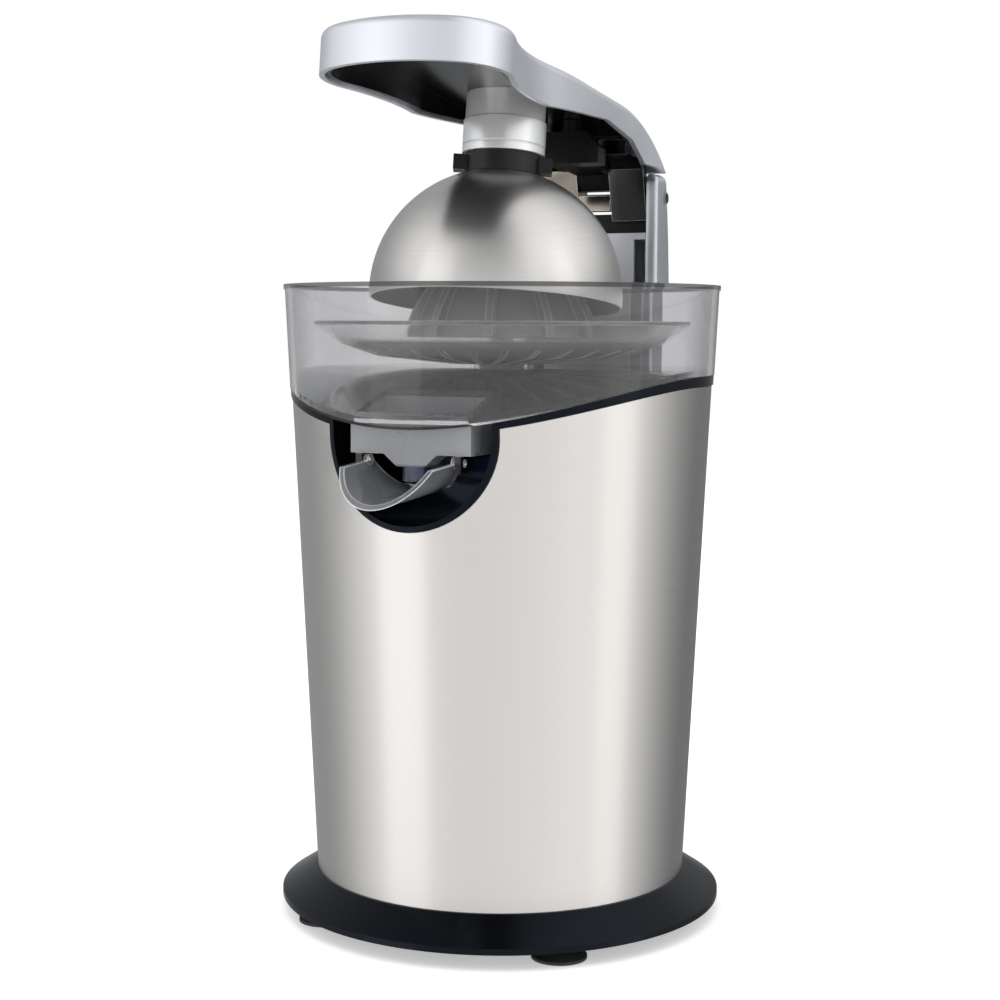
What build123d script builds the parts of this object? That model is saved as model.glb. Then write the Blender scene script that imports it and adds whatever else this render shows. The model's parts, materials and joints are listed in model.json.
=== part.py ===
from build123d import *

import os
from math import atan2, cos, degrees, pi, radians, sin, sqrt, tan

# Electric citrus juicer with a lever press. Millimetres. The worktop is z = 0, the machine's
# axis is Z and its front faces -Y. The lever arm is modelled pressed down and then lifted.

# Fits
FIT = 0.3            # gap between pieces that seat loosely
RUN = 0.05           # radial clearance of a running fit
SEAT = 0.02          # radial clearance of a fixed pin or bush in its hole

# Feet
FOOT_LIFT = 6.5      # worktop to the underside of the base
FOOT_R = 11.0
FOOT_RING = 1.8      # width of the flat ring that rests on the worktop
FOOT_EDGE = 1.2
FOOT_DISH = 2.6
FOOT_NECK_R = 6.0
FOOT_NECK_H = 2.4
FOOT_STEM_R = 3.9
FOOT_BULB_R = 4.7
FOOT_BULB_H = 1.6
FOOT_INSET = 15.0    # edge of the base to the axis of a foot
FOOT_ANGLE = 43.0    # from the front or the back, towards each side

# Base ring and bottom cover
BASE_R = 92.5
BASE_LIP = 2.5
BASE_RISE = 11.6     # underside of the base to the lower edge of the steel shell
BASE_LEDGE = 0.6     # base ring stands this far outside the shell
BASE_T = 2.5
BASE_UPSTAND = 14.0
BASE_HOLE_R = 40.0
BASE_CUFF = 4.3      # width of the ring's flat underside
COVER_T = 2.0
COVER_SCREW_CIRCLE_R = 58.0
COVER_BOSS_R = 4.0
VENT_COUNT = 10
VENT_L = 16.0
VENT_W = 3.0
VENT_CIRCLE_R = 30.0

# Screws
SCREW_R = 1.6
SCREW_HEAD_R = 3.0
SCREW_HEAD_H = 1.8

# Tie rods between the base and the upper housing
TIE_R = 2.0
TIE_HEAD_R = 4.0
TIE_HEAD_H = 2.5
TIE_BOSS_R = 5.0
TIE_CIRCLE_R = 68.0
TIE_ANGLES = (-12.0, 135.0, 225.0, 315.0)
TIE_BOSS_H = 8.0
TIE_GRIP = 12.0      # length of rod held in the upper housing

# Steel shell
SHELL_R_BOTTOM = 77.6
SHELL_R_TOP = 87.4
SHELL_H = 203.2
SHELL_T = 0.8
SHELL_DIP_R = 225.0  # radius of the top edge where it dips to the front
SHELL_SEAM = 2.0

# Upper housing
DECK_T = 3.0
HOUSING_WALL = 2.5
HOUSING_SKIRT = 34.0
DECK_DIP_R = 205.0
CHIMNEY_H = 10.5
CHIMNEY_WALL = 2.0

# Spout recess
RECESS_R = 34.3
RECESS_BEZEL = 2.3
RECESS_PROUD = 0.6
RECESS_DROP = 17.8   # steel top edge to the centre of the half round
RECESS_BACK = 46.0   # machine axis to the back wall of the recess

# Juice bowl
BOWL_GAP = 4.2       # trim strip between the steel and the bowl at the sides
BOWL_DIP_R = 208.0
BOWL_H = 36.6
BOWL_T = 2.5
BOWL_PROUD = 0.8
BOWL_RIM_H = 2.0
BOWL_RIM_W = 0.5
BOWL_CHIMNEY_H = 12.0
BOWL_CHIMNEY_WALL = 2.0
CHUTE_HALF_W = 26.0
CHUTE_FRONT = 81.0
CHUTE_BACK = 54.0
CHUTE_T = 2.0
CHUTE_DEPTH = 29.0   # bowl floor level to the underside of the chute
BUMP_HALF_TOP = 11.5
BUMP_HALF_LOW = 5.8
BUMP_H = 4.8
BUMP_L = 10.0
NOZZLE_R = 5.5
NOZZLE_BORE_R = 4.0
NOZZLE_H = 5.7
NOZZLE_Y = 75.5
LUG_T = 2.6
LUG_L = 7.0
LUG_H = 6.5

# Spout flap
FLAP_PIN_R = 1.5
FLAP_PIVOT_Y = 79.5
FLAP_PIVOT_DROP = 31.8   # bowl floor level to the flap's pivot
FLAP_T = 1.8
FLAP_DEPTH = 13.6
FLAP_HALF_W = 19.8
FLAP_SIDE = 20.5         # pivot to the front end of each upper edge
FLAP_REACH = 34.8        # pivot to the front of the lip
FLAP_BACK = 11.5
FLAP_BACK_H = 3.0
FLAP_EDGE_BACK = 2.5     # pivot to the rear end of each upper edge
FLAP_TILT = 4.0
FLAP_EAR_R = 2.4

# Strainer
STRAINER_R = 78.3
STRAINER_RIM_Z = 22.0    # above the bowl floor level
STRAINER_WALL_R = 67.0
STRAINER_WALL_Z = 14.0
STRAINER_BEND_R = 52.0
STRAINER_BEND_Z = 7.4
STRAINER_FLOOR_R = 22.0
STRAINER_FLOOR_Z = 4.3
STRAINER_T = 1.6
STRAINER_HUB_WALL = 2.0
STRAINER_SLOTS = 30
SLOT_W = 2.2
SLOT_SLANT = 16.0
SLOT_MARGIN = 5.0

# Reamer cone
REAMER_R = 40.0
REAMER_CORE_R = 35.0
REAMER_H = 41.0
REAMER_RISE = 17.5       # bowl floor level to the lower edge of the reamer
REAMER_TIP_R = 3.0
REAMER_BULGE = 4.0
REAMER_FINS = 10
REAMER_FIN_T = 3.2
REAMER_T = 2.4
REAMER_EDGE = 3.0
REAMER_HUB_R = 8.5

# Drive shaft and its supports
SHAFT_R = 5.0
SHAFT_JOURNAL_R = 4.0
SHAFT_FLAT = 4.0         # half distance across the driving flats
SHAFT_TOP_FLATS = 24.0
BUSH_WALL = 2.5
SEAL_H = 2.5
PRESS_TRAVEL = 2.5       # downward stroke that starts the motor

# Gears
PRESSURE_ANGLE = 20.0
BACKLASH = 0.25
ADDENDUM = 1.0
DEDENDUM = 1.3
PINION_SHIFT = 0.3
MODULE_FAST = 1.25
PINION_TEETH = 12
IDLER_TEETH = 44
MODULE_SLOW = 1.5
IDLER_PINION_TEETH = 12
OUTPUT_TEETH = 40
IDLER_GEAR_T = 8.0
OUTPUT_GEAR_T = 10.0
IDLER_PINION_T = 15.0
MOTOR_PINION_T = 10.5
OUTPUT_HUB_R = 10.0
GEAR_AXLE_R = 3.0
MOTOR_OFFSET = 42.0      # machine axis to motor axis

# Gearbox casing
CASE_T = 2.4
CASE_PLATE = 3.0
CASE_ROOM = 27.5         # height inside the casing
CASE_CLEAR = 3.0         # gear tips to the casing wall
CASE_LUG_R = 6.0
CASE_POST_H = 11.5       # deck underside to the top of the casing
CASE_GRIP = 7.0          # length of casing screw held in the upper housing
CASE_FLOOR_GAP = 3.0     # casing floor to the underside of the idler gear

# Motor
MOTOR_R = 30.0
MOTOR_WALL = 1.5
MOTOR_H = 94.0
MOTOR_CAP_T = 5.0
MOTOR_SHAFT_R = 2.5
ROTOR_R = 18.0
MOTOR_ENDS = 42.0        # length of the motor that its windings and bushes take up
AIR_GAP = 0.6
WINDING_H = 11.0
MOTOR_BUSH_R = 5.5
MOTOR_BUSH_H = 5.0

# Thrust cup, spring and switch
CUP_R = 8.0
CUP_H = 13.0
CUP_SOCKET = 10.0
CUP_DROP = 15.0          # gearbox floor to the top of the cup
CUP_PIN_R = 2.0
CUP_PIN_L = 16.0
SPRING_ROOM = 12.0
SPRING_R = 7.0
SPRING_WIRE = 1.2
GUIDE_WALL = 2.5
BRACKET_T = 2.0
BRACKET_HALF_L = 24.0
BRACKET_HALF_W = 8.0
SWITCH_L = 20.0
SWITCH_W = 6.4
SWITCH_H = 10.0
SWITCH_GAP = 0.3
SWITCH_STICK_OUT = 3.7
SWITCH_BUTTON_R = 1.5

# Rear column
COLUMN_HALF_W = 33.0
COLUMN_WALL = 5.3
COLUMN_BACK_T = 2.6
COLUMN_FRONT_Y = 92.3
COLUMN_TOP_Z = 314.0
COLUMN_TOP_ROUND = 4.0
COLUMN_BACK_TOP_Y = 107.4
COLUMN_BACK_MID_Y = 112.8
COLUMN_BACK_MID_Z = 262.0
COLUMN_BACK_LOW_Y = 108.0
COLUMN_BACK_LOW_Z = 150.0
COLUMN_FOOT_Y = 91.5
COLUMN_SHOULDER_Z = 222.0
COLUMN_NOTCH_DROP = 6.6    # pivot to the top of the column's back wall
COLUMN_ROUND = 5.0
PANEL_HALF_W = 21.8
PANEL_T = 2.0
SHELF_T = 3.0
SHELF_DROP = 16.0          # pivot to the top of the shelf
COLUMN_SCREW_X = 14.0
COLUMN_SCREW_L = 16.0
COLUMN_BOSS_R = 4.5
GLAND_Z = 45.0
GLAND_R = 6.0
GLAND_FLANGE_R = 8.5
GLAND_FLANGE_T = 2.5
GLAND_BORE_R = 3.6

# Lever arm, in its pressed position
PIVOT_Y = 104.0
PIVOT_Z = 303.5
PIVOT_R = 2.5
ARM_TILT = 6.7             # how far the arm stands lifted at rest
HANDLE_BOTTOM_Z = 317.4
HANDLE_TOP_Z = 334.6
HANDLE_TIP_Y = -106.0
HANDLE_TIP_HALF = 24.0
HANDLE_TIP_BOW = 5.0
HANDLE_WIDE_Y = -70.0
HANDLE_WIDE = 37.0
HANDLE_NECK_Y = -22.0
HANDLE_NECK = 31.5
HANDLE_TAIL_Y = 34.0
HANDLE_BEND_Y = 48.0
HANDLE_END_Y = 104.5
HANDLE_END_Z = 316.1
HANDLE_END_T = 1.2
HANDLE_PADDLE_Y = -24.0    # where the underside starts to rise behind the paddle
HANDLE_WAIST_Y = 32.0
HANDLE_WAIST_Z = 323.9
HANDLE_KNEE_Y = 60.0
HANDLE_KNEE_Z = 321.2
HANDLE_DIP_Y = 76.0
HANDLE_DIP_Z = 313.8
HANDLE_HEEL_Y = 91.0
HANDLE_HEEL_Z = 315.2
HANDLE_EDGE = 3.5
HANDLE_WALL = 2.2
TRAY_WALL = 2.0
TRAY_END_Y = 70.0
TRAY_CEILING_Z = 328.4
CORE_HALF_W = 23.0
CORE_FRONT_Y = 46.0
CORE_T = 8.0
CORE_BOTTOM_Z = 309.0
CORE_TOP_Z = 323.0
CORE_CHAMFER = 7.0
CORE_BOSS_X = 8.0
CORE_BOSS_R = 4.0
SPINE_HALF_W = 11.0        # narrow part of the core behind its front plate
SPINE_BOTTOM_Z = 313.0
SPINE_BACK_Y = 84.0
TONGUE_END_Y = 102.6       # lower end of the tongue between the prongs
TONGUE_END_Z = 306.8
BARREL_R = 5.8
BARREL_HALF_W = 25.0
BARREL_SLOT = 8.0          # half width of the slot between the prongs
BRACKET_FRONT_Y = 72.0
BRACKET_BEND_Y = 86.0
BRACKET_TOP_Z = 323.0
BRACKET_LIP_IN = 12.0      # middle plane to the inner end of a front lip
BRACKET_LIP_T = 2.0
BRACKET_LIP_OVER = 1.3     # how far a front lip stands above and below the plate
PRONG_T = 4.0
PRONG_TOP_Y = 97.5
PRONG_TOP_Z = 317.2
PRONG_END_Y = 105.5
PRONG_END_Z = 293.0
CROSSBAR_Y = 98.0
CROSSBAR_T = 3.2
CROSSBAR_Z = 297.3
CROSSBAR_H = 7.0

# Stem and dome, in the pressed position
STEM_R = 17.2
STEM_NECK_R = 16.6
STEM_NECK_TOP_Z = 328.4
STEM_NECK_Z = 317.2
STEM_Z = 307.2
STEM_GROOVE = 0.7
STEM_GROOVE_R = 16.4
STEM_RING_H = 3.0
STEM_CORE_R = 9.0
COLLAR_R = 15.7
COLLAR_H = 7.1
COLLAR_LUG_REACH = 20.5
COLLAR_LUG_W = 9.0
COLLAR_LUG_H = 6.2
COLLAR_LUG_ANGLE = 25.0
SPIGOT_R = 8.0             # plug of the collar that turns in the stem
SPIGOT_H = 9.0
DOME_R = 52.5
DOME_CENTRE_Z = 245.0
DOME_RIM_Z = 242.0
DOME_T = 1.0
DOME_NECK_R = 14.8
LINER_T = 1.8
LINER_RIM = 8.5            # edge of the liner above the edge of the dome

# Levels and radii that follow from the sizes above
BASE_Z = FOOT_LIFT
SHELL_Z = BASE_Z + BASE_RISE
SHELL_TOP_Z = SHELL_Z + SHELL_H
SHELL_TAPER = (SHELL_R_TOP - SHELL_R_BOTTOM) / SHELL_H
COVER_R = BASE_R - BASE_CUFF
FOOT_CIRCLE_R = BASE_R - FOOT_INSET
BASE_FLOOR_Z = SHELL_Z - BASE_T
BOWL_Z = SHELL_TOP_Z + BOWL_GAP
BOWL_RIM_Z = BOWL_Z + BOWL_H
DECK_Z = BOWL_Z - DECK_T
RECESS_Z = SHELL_TOP_Z - RECESS_DROP
CASE_TOP_Z = DECK_Z - CASE_POST_H
CASE_FLOOR_Z = CASE_TOP_Z - CASE_PLATE - CASE_ROOM
CASE_Z = CASE_FLOOR_Z - CASE_PLATE
IDLER_Z = CASE_FLOOR_Z + CASE_FLOOR_GAP
IDLER_PINION_Z = IDLER_Z + IDLER_GEAR_T
OUTPUT_Z = IDLER_PINION_Z + (IDLER_PINION_T - OUTPUT_GEAR_T) / 2 + 1.0
MOTOR_TOP_Z = CASE_Z
MOTOR_Z = MOTOR_TOP_Z - MOTOR_H
ROTOR_H = MOTOR_H - MOTOR_ENDS
CUP_TOP_Z = CASE_Z - CUP_DROP
CUP_Z = CUP_TOP_Z - CUP_H
SHAFT_Z = CUP_TOP_Z - CUP_SOCKET
SPRING_Z = CUP_Z - SPRING_ROOM
REAMER_Z = BOWL_Z + REAMER_RISE
SHAFT_TOP_Z = REAMER_Z + REAMER_H - REAMER_T * 3
BUSH_R = SHAFT_R + BUSH_WALL
CHIMNEY_R = BUSH_R + SEAT + CHIMNEY_WALL
BOWL_CHIMNEY_R = CHIMNEY_R + FIT + BOWL_CHIMNEY_WALL
STRAINER_HUB_R = BOWL_CHIMNEY_R + FIT + STRAINER_HUB_WALL
COLLAR_Z = STEM_Z - STEM_GROOVE - STEM_RING_H - COLLAR_H
HANDLE_FALL = HANDLE_TOP_Z - HANDLE_END_Z
HANDLE_BEND_R = ((HANDLE_END_Y - HANDLE_BEND_Y) ** 2 + HANDLE_FALL**2) / (2 * HANDLE_FALL)

# Gear centres: output on the machine axis, motor behind it, idler where both distances meet
PITCH_OUT = MODULE_SLOW * (OUTPUT_TEETH + IDLER_PINION_TEETH) / 2
PITCH_IN = MODULE_FAST * (IDLER_TEETH + PINION_TEETH) / 2
IDLER_COS = (PITCH_OUT**2 + MOTOR_OFFSET**2 - PITCH_IN**2) / (2 * PITCH_OUT * MOTOR_OFFSET)
IDLER_SIN = sqrt(1 - IDLER_COS**2)
IDLER_X = PITCH_OUT * IDLER_SIN
IDLER_Y = PITCH_OUT * IDLER_COS
OUTPUT_TIP_R = MODULE_SLOW * (OUTPUT_TEETH / 2 + ADDENDUM - PINION_SHIFT)
IDLER_TIP_R = MODULE_FAST * (IDLER_TEETH / 2 + ADDENDUM - PINION_SHIFT)
PINION_TIP_R = MODULE_FAST * (PINION_TEETH / 2 + ADDENDUM + PINION_SHIFT)

REACH = 150.0        # larger than any cut needs
UP = (Align.CENTER, Align.CENTER, Align.MIN)


# Basic shapes
def rod(radius, z0, z1, x=0.0, y=0.0):
    """Upright cylinder."""
    return Pos(x, y, z0) * Cylinder(radius, z1 - z0, align=UP)


def tube(outer, inner, z0, z1, x=0.0, y=0.0):
    """Upright tube."""
    return rod(outer, z0, z1, x, y) - rod(inner, z0, z1, x, y)


def cross_rod(radius, x0, x1, y, z):
    """Cylinder along X."""
    return Pos(x0, y, z) * Rot(0, 90, 0) * Cylinder(radius, x1 - x0, align=UP)


def depth_rod(radius, y0, y1, x, z):
    """Cylinder along Y."""
    return Pos(x, y0, z) * Rot(-90, 0, 0) * Cylinder(radius, y1 - y0, align=UP)


def block(x0, x1, y0, y1, z0, z1):
    """Box between two corners."""
    return Pos((x0 + x1) / 2, (y0 + y1) / 2, (z0 + z1) / 2) * Box(x1 - x0, y1 - y0, z1 - z0)


def turned(*points):
    """Solid of revolution about Z from (radius, height) points."""
    outline = Polyline(*[(r, 0, z) for r, z in points], close=True)
    return revolve(make_face(outline.edges()), Axis.Z)


def side_block(edges, half_width):
    """Solid with a YZ outline, as wide on both sides of the middle plane."""
    return extrude(make_face(edges), half_width, both=True)


def raised(face, z0, height):
    """Solid with a plan outline, from a level upwards."""
    return Pos(0, 0, z0) * extrude(face, height, dir=(0, 0, 1))


def side_polygon(points, half_width):
    """Solid with a straight-sided YZ outline given as (y, z) points."""
    return side_block(Polyline(*[(0, y, z) for y, z in points], close=True).edges(), half_width)


def polar(radius, angle):
    """X and Y of a point at an angle from the X axis."""
    return radius * cos(radians(angle)), radius * sin(radians(angle))


def shell_radius(z):
    """Outside radius of the steel taper, continued above and below it."""
    return SHELL_R_BOTTOM + SHELL_TAPER * (z - SHELL_Z)


def taper(z0, z1, offset):
    """Solid cone that runs along the steel taper at a distance."""
    return Pos(0, 0, z0) * Cone(shell_radius(z0) + offset, shell_radius(z1) + offset, z1 - z0, align=UP)


def dipped_block(z_flat, radius, z_low=0.0):
    """Everything below a level that is flat at the back and curves down to the front."""
    front = radius - sqrt(radius**2 - REACH**2)
    middle = radius - sqrt(radius**2 - (REACH / 2) ** 2)
    curve = ThreePointArc(
        (0, 0, z_flat), (0, -REACH / 2, z_flat - middle), (0, -REACH, z_flat - front)
    )
    rest = Polyline(
        (0, -REACH, z_flat - front), (0, -REACH, z_low), (0, REACH, z_low),
        (0, REACH, z_flat), (0, 0, z_flat),
    )
    return side_block([curve, *rest.edges()], REACH)


def pan_screw(length):
    """Pan head screw along Z: head below z = 0, shank above it."""
    return rod(SCREW_HEAD_R, -SCREW_HEAD_H, 0) + rod(SCREW_R, 0, length)


# Feet and base
FOOT_PLACES = {
    "front_left": polar(FOOT_CIRCLE_R, -90 - FOOT_ANGLE),
    "front_right": polar(FOOT_CIRCLE_R, -90 + FOOT_ANGLE),
    "rear_left": polar(FOOT_CIRCLE_R, 90 + FOOT_ANGLE),
    "rear_right": polar(FOOT_CIRCLE_R, 90 - FOOT_ANGLE),
}
TIE_PLACES = [polar(TIE_CIRCLE_R, angle) for angle in TIE_ANGLES]
COVER_SCREW_PLACES = [polar(COVER_SCREW_CIRCLE_R, angle) for angle in (0, 90, 180, 270)]


def suction_foot(x, y):
    cover_top = BASE_Z + COVER_T
    cup = turned(
        (0, FOOT_DISH), (FOOT_R - FOOT_RING, 0), (FOOT_R, 0), (FOOT_R, FOOT_EDGE),
        (FOOT_NECK_R, BASE_Z - FOOT_NECK_H), (FOOT_NECK_R, BASE_Z), (FOOT_STEM_R, BASE_Z),
        (FOOT_STEM_R, cover_top), (FOOT_BULB_R, cover_top), (FOOT_BULB_R, cover_top + FOOT_BULB_H),
        (0, cover_top + FOOT_BULB_H),
    )
    return Pos(x, y, 0) * cup


def base_ring():
    upstand_r = SHELL_R_BOTTOM - SHELL_T - FIT
    upstand_z = SHELL_Z + BASE_UPSTAND
    ring = turned(
        (BASE_HOLE_R, BASE_FLOOR_Z), (BASE_HOLE_R, SHELL_Z), (upstand_r - BASE_T, SHELL_Z),
        (upstand_r - BASE_T, upstand_z), (upstand_r, upstand_z), (upstand_r, SHELL_Z),
        (SHELL_R_BOTTOM + BASE_LEDGE, SHELL_Z), (BASE_R, BASE_Z + BASE_LIP), (BASE_R, BASE_Z),
        (COVER_R, BASE_Z), (COVER_R, BASE_Z + COVER_T), (SHELL_R_BOTTOM - FIT, BASE_FLOOR_Z),
    )
    for x, y in TIE_PLACES:
        ring += rod(TIE_BOSS_R, BASE_FLOOR_Z, SHELL_Z + TIE_BOSS_H, x, y)
        ring -= rod(TIE_R + FIT, BASE_FLOOR_Z, SHELL_Z + TIE_BOSS_H, x, y)
    for x, y in COVER_SCREW_PLACES:
        ring += rod(COVER_BOSS_R, BASE_Z + COVER_T, SHELL_Z, x, y)
        ring -= rod(SCREW_R + SEAT, BASE_Z, SHELL_Z, x, y)
    for side in (-1, 1):
        ring -= depth_rod(SCREW_R + FIT, 0, REACH, side * COLUMN_SCREW_X, SHELL_Z + BASE_UPSTAND / 2)
    return ring


def bottom_cover():
    cover = rod(COVER_R - FIT, BASE_Z, BASE_Z + COVER_T)
    cover -= [rod(FOOT_STEM_R + SEAT, 0, REACH, x, y) for x, y in FOOT_PLACES.values()]
    cover -= [rod(SCREW_R + FIT, 0, REACH, x, y) for x, y in COVER_SCREW_PLACES]
    vent = Pos(VENT_CIRCLE_R, 0, BASE_Z) * Box(VENT_L, VENT_W, BASE_Z)
    return cover - [Rot(0, 0, 360 / VENT_COUNT * i) * vent for i in range(VENT_COUNT)]


def bottom_cover_screws():
    return [Pos(x, y, BASE_Z) * pan_screw(BASE_RISE) for x, y in COVER_SCREW_PLACES]


def tie_rods():
    top = DECK_Z - HOUSING_SKIRT + TIE_GRIP
    rods = []
    for x, y in TIE_PLACES:
        head = rod(TIE_HEAD_R, BASE_FLOOR_Z - TIE_HEAD_H, BASE_FLOOR_Z, x, y)
        rods.append(head + rod(TIE_R, BASE_FLOOR_Z, top, x, y))
    return rods


# Steel shell and upper housing
def recess_outline(radius):
    """Half round with straight sides above it, drawn in the XZ plane."""
    arc = ThreePointArc((-radius, 0, RECESS_Z), (0, 0, RECESS_Z - radius), (radius, 0, RECESS_Z))
    top = Polyline(
        (radius, 0, RECESS_Z), (radius, 0, BOWL_RIM_Z), (-radius, 0, BOWL_RIM_Z), (-radius, 0, RECESS_Z)
    )
    return make_face([arc, *top.edges()])


def recess_block(radius, back):
    """Block with the recess outline, from in front of the machine back to a depth."""
    return Pos(0, -back, 0) * extrude(recess_outline(radius), REACH, dir=(0, -1, 0))


def body_shell():
    shell = taper(SHELL_Z, SHELL_TOP_Z, 0) - taper(SHELL_Z, SHELL_TOP_Z, -SHELL_T)
    shell &= dipped_block(SHELL_TOP_Z, SHELL_DIP_R)
    shell -= recess_block(RECESS_R + RECESS_BEZEL + FIT / 2, 0)
    shell -= block(-SHELL_SEAM / 2, SHELL_SEAM / 2, 0, REACH, 0, REACH * 2)
    for z in COLUMN_SCREW_LEVELS:
        for side in (-1, 1):
            shell -= depth_rod(SCREW_R + FIT, 0, REACH, side * COLUMN_SCREW_X, z)
    return shell


def upper_housing():
    """Deck and skirt inside the top of the steel, with a trim strip that shows under the bowl."""
    low = DECK_Z - HOUSING_SKIRT
    inset = SHELL_T + FIT
    deck = dipped_block(BOWL_Z, DECK_DIP_R)
    inside = taper(low, BOWL_Z, -inset - HOUSING_WALL)
    housing = taper(low, BOWL_Z, -inset) & deck
    housing -= inside & dipped_block(DECK_Z, DECK_DIP_R)
    trim = taper(low, BOWL_Z, RECESS_PROUD) & deck
    housing += trim - dipped_block(SHELL_TOP_Z + FIT, SHELL_DIP_R) - inside
    for x, y in TIE_PLACES:
        housing += rod(TIE_BOSS_R, low, BOWL_Z, x, y) & deck
        housing -= rod(TIE_R + SEAT, low, low + TIE_GRIP, x, y)
    for x, y in CASE_LUG_PLACES:
        housing += rod(CASE_LUG_R - FIT, CASE_TOP_Z, DECK_Z, x, y) & deck
        housing -= rod(SCREW_R + SEAT, CASE_TOP_Z, CASE_TOP_Z + CASE_GRIP, x, y)
    housing += rod(CHIMNEY_R, DECK_Z, BOWL_Z + CHIMNEY_H)
    housing -= rod(BUSH_R + SEAT, 0, BOWL_Z + CHIMNEY_H)
    housing -= recess_block(RECESS_R + RECESS_BEZEL + FIT / 2, RECESS_BACK - FIT / 2)
    for side in (-1, 1):
        housing -= depth_rod(SCREW_R + FIT, 0, REACH, side * COLUMN_SCREW_X, COLUMN_SCREW_LEVELS[1])
    return housing


def spout_recess():
    """Black insert in the front of the body: a pocket round the spout with a raised bezel."""
    pocket = recess_block(RECESS_R + RECESS_BEZEL, RECESS_BACK)
    pocket &= dipped_block(BOWL_Z, DECK_DIP_R) & taper(SHELL_Z, BOWL_Z, RECESS_PROUD)
    return pocket - recess_block(RECESS_R, RECESS_BACK + RECESS_BEZEL)


# Juice bowl, strainer and spout flap
CHUTE_Z = BOWL_Z - CHUTE_DEPTH
NOZZLE_TOP_Z = CHUTE_Z - BUMP_H
FLAP_Z = BOWL_Z - FLAP_PIVOT_DROP


def juice_bowl():
    """Outer wall of the bowl with its rim. The floor and the chute are pieces of their own."""
    low = CHUTE_Z - REACH / 10
    wall = taper(low, BOWL_RIM_Z, BOWL_PROUD) - taper(low, BOWL_RIM_Z, BOWL_PROUD - BOWL_T)
    rim_z = BOWL_RIM_Z - BOWL_RIM_H
    wall += taper(rim_z, BOWL_RIM_Z, BOWL_PROUD + BOWL_RIM_W) - taper(rim_z, BOWL_RIM_Z, 0)
    return wall - dipped_block(BOWL_Z, BOWL_DIP_R)


def chute_inside():
    half = CHUTE_HALF_W - CHUTE_T
    return block(-half, half, CHUTE_T - CHUTE_FRONT, -CHUTE_BACK - CHUTE_T, CHUTE_Z + CHUTE_T, BOWL_RIM_Z)


def bowl_floor():
    """Sloping floor inside the wall, with the chimney round the shaft and the way into the chute."""
    low = CHUTE_Z - REACH / 10
    plate = dipped_block(BOWL_Z + BOWL_T, BOWL_DIP_R) - dipped_block(BOWL_Z, BOWL_DIP_R)
    floor = plate & taper(low, BOWL_RIM_Z, BOWL_PROUD - BOWL_T - SEAT)
    floor += rod(BOWL_CHIMNEY_R, BOWL_Z, BOWL_Z + BOWL_CHIMNEY_H)
    floor -= rod(CHIMNEY_R + FIT, 0, BOWL_Z + BOWL_CHIMNEY_H)
    return floor - chute_inside()


def juice_chute():
    """Box under the floor that leads the juice to the nozzle, with the lugs of the spout flap."""
    half = CHUTE_HALF_W
    chute = block(-half, half, -CHUTE_FRONT, -CHUTE_BACK, CHUTE_Z, BOWL_Z)
    chute &= dipped_block(BOWL_Z - SEAT, BOWL_DIP_R)
    for side in (-1, 1):
        inner = side * (FLAP_HALF_W + FIT)
        outer = side * (FLAP_HALF_W + FIT + LUG_T)
        y0 = -FLAP_PIVOT_Y - LUG_L / 2
        chute += block(min(inner, outer), max(inner, outer), y0, y0 + LUG_L, CHUTE_Z - LUG_H, CHUTE_Z)
    chute -= cross_rod(FLAP_PIN_R + RUN, -half, half, -FLAP_PIVOT_Y, FLAP_Z)
    return chute - chute_inside() - rod(NOZZLE_BORE_R, 0, BOWL_Z, 0, -NOZZLE_Y)


def juice_nozzle():
    """Short pipe on a tapered boss under the chute."""
    bump = Polyline(
        (-BUMP_HALF_TOP, 0, CHUTE_Z), (BUMP_HALF_TOP, 0, CHUTE_Z), (BUMP_HALF_LOW, 0, NOZZLE_TOP_Z),
        (-BUMP_HALF_LOW, 0, NOZZLE_TOP_Z), close=True,
    )
    nozzle = Pos(0, -CHUTE_FRONT, 0) * extrude(make_face(bump.edges()), BUMP_L, dir=(0, 1, 0))
    nozzle += rod(NOZZLE_R, NOZZLE_TOP_Z - NOZZLE_H, NOZZLE_TOP_Z, 0, -NOZZLE_Y)
    return nozzle - rod(NOZZLE_BORE_R, 0, BOWL_Z, 0, -NOZZLE_Y)


def strainer():
    rim = BOWL_Z + STRAINER_RIM_Z
    wall = BOWL_Z + STRAINER_WALL_Z
    bend = BOWL_Z + STRAINER_BEND_Z
    floor = BOWL_Z + STRAINER_FLOOR_Z
    top = BOWL_Z + BOWL_CHIMNEY_H
    hub_in = BOWL_CHIMNEY_R + FIT
    t = STRAINER_T
    dish = turned(
        (hub_in, floor), (STRAINER_FLOOR_R, floor), (STRAINER_BEND_R, bend), (STRAINER_WALL_R, wall - t),
        (STRAINER_R, rim - t), (STRAINER_R, rim), (STRAINER_R - 2 * t, rim),
        (STRAINER_WALL_R - t, wall), (STRAINER_BEND_R, bend + t), (STRAINER_FLOOR_R, floor + t),
        (STRAINER_HUB_R, floor + t), (STRAINER_HUB_R, top + t), (BUSH_R, top + t), (BUSH_R, top),
        (hub_in, top),
    )
    inner = STRAINER_FLOOR_R + SLOT_MARGIN
    outer = STRAINER_WALL_R - SLOT_MARGIN
    slot = Pos(inner, 0, floor) * Rot(0, 0, SLOT_SLANT) * Box(
        outer - inner, SLOT_W, STRAINER_RIM_Z, align=(Align.MIN, Align.CENTER, Align.CENTER)
    )
    slots = [Rot(0, 0, 360 / STRAINER_SLOTS * i) * slot for i in range(STRAINER_SLOTS)]
    return dish - slots


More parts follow.
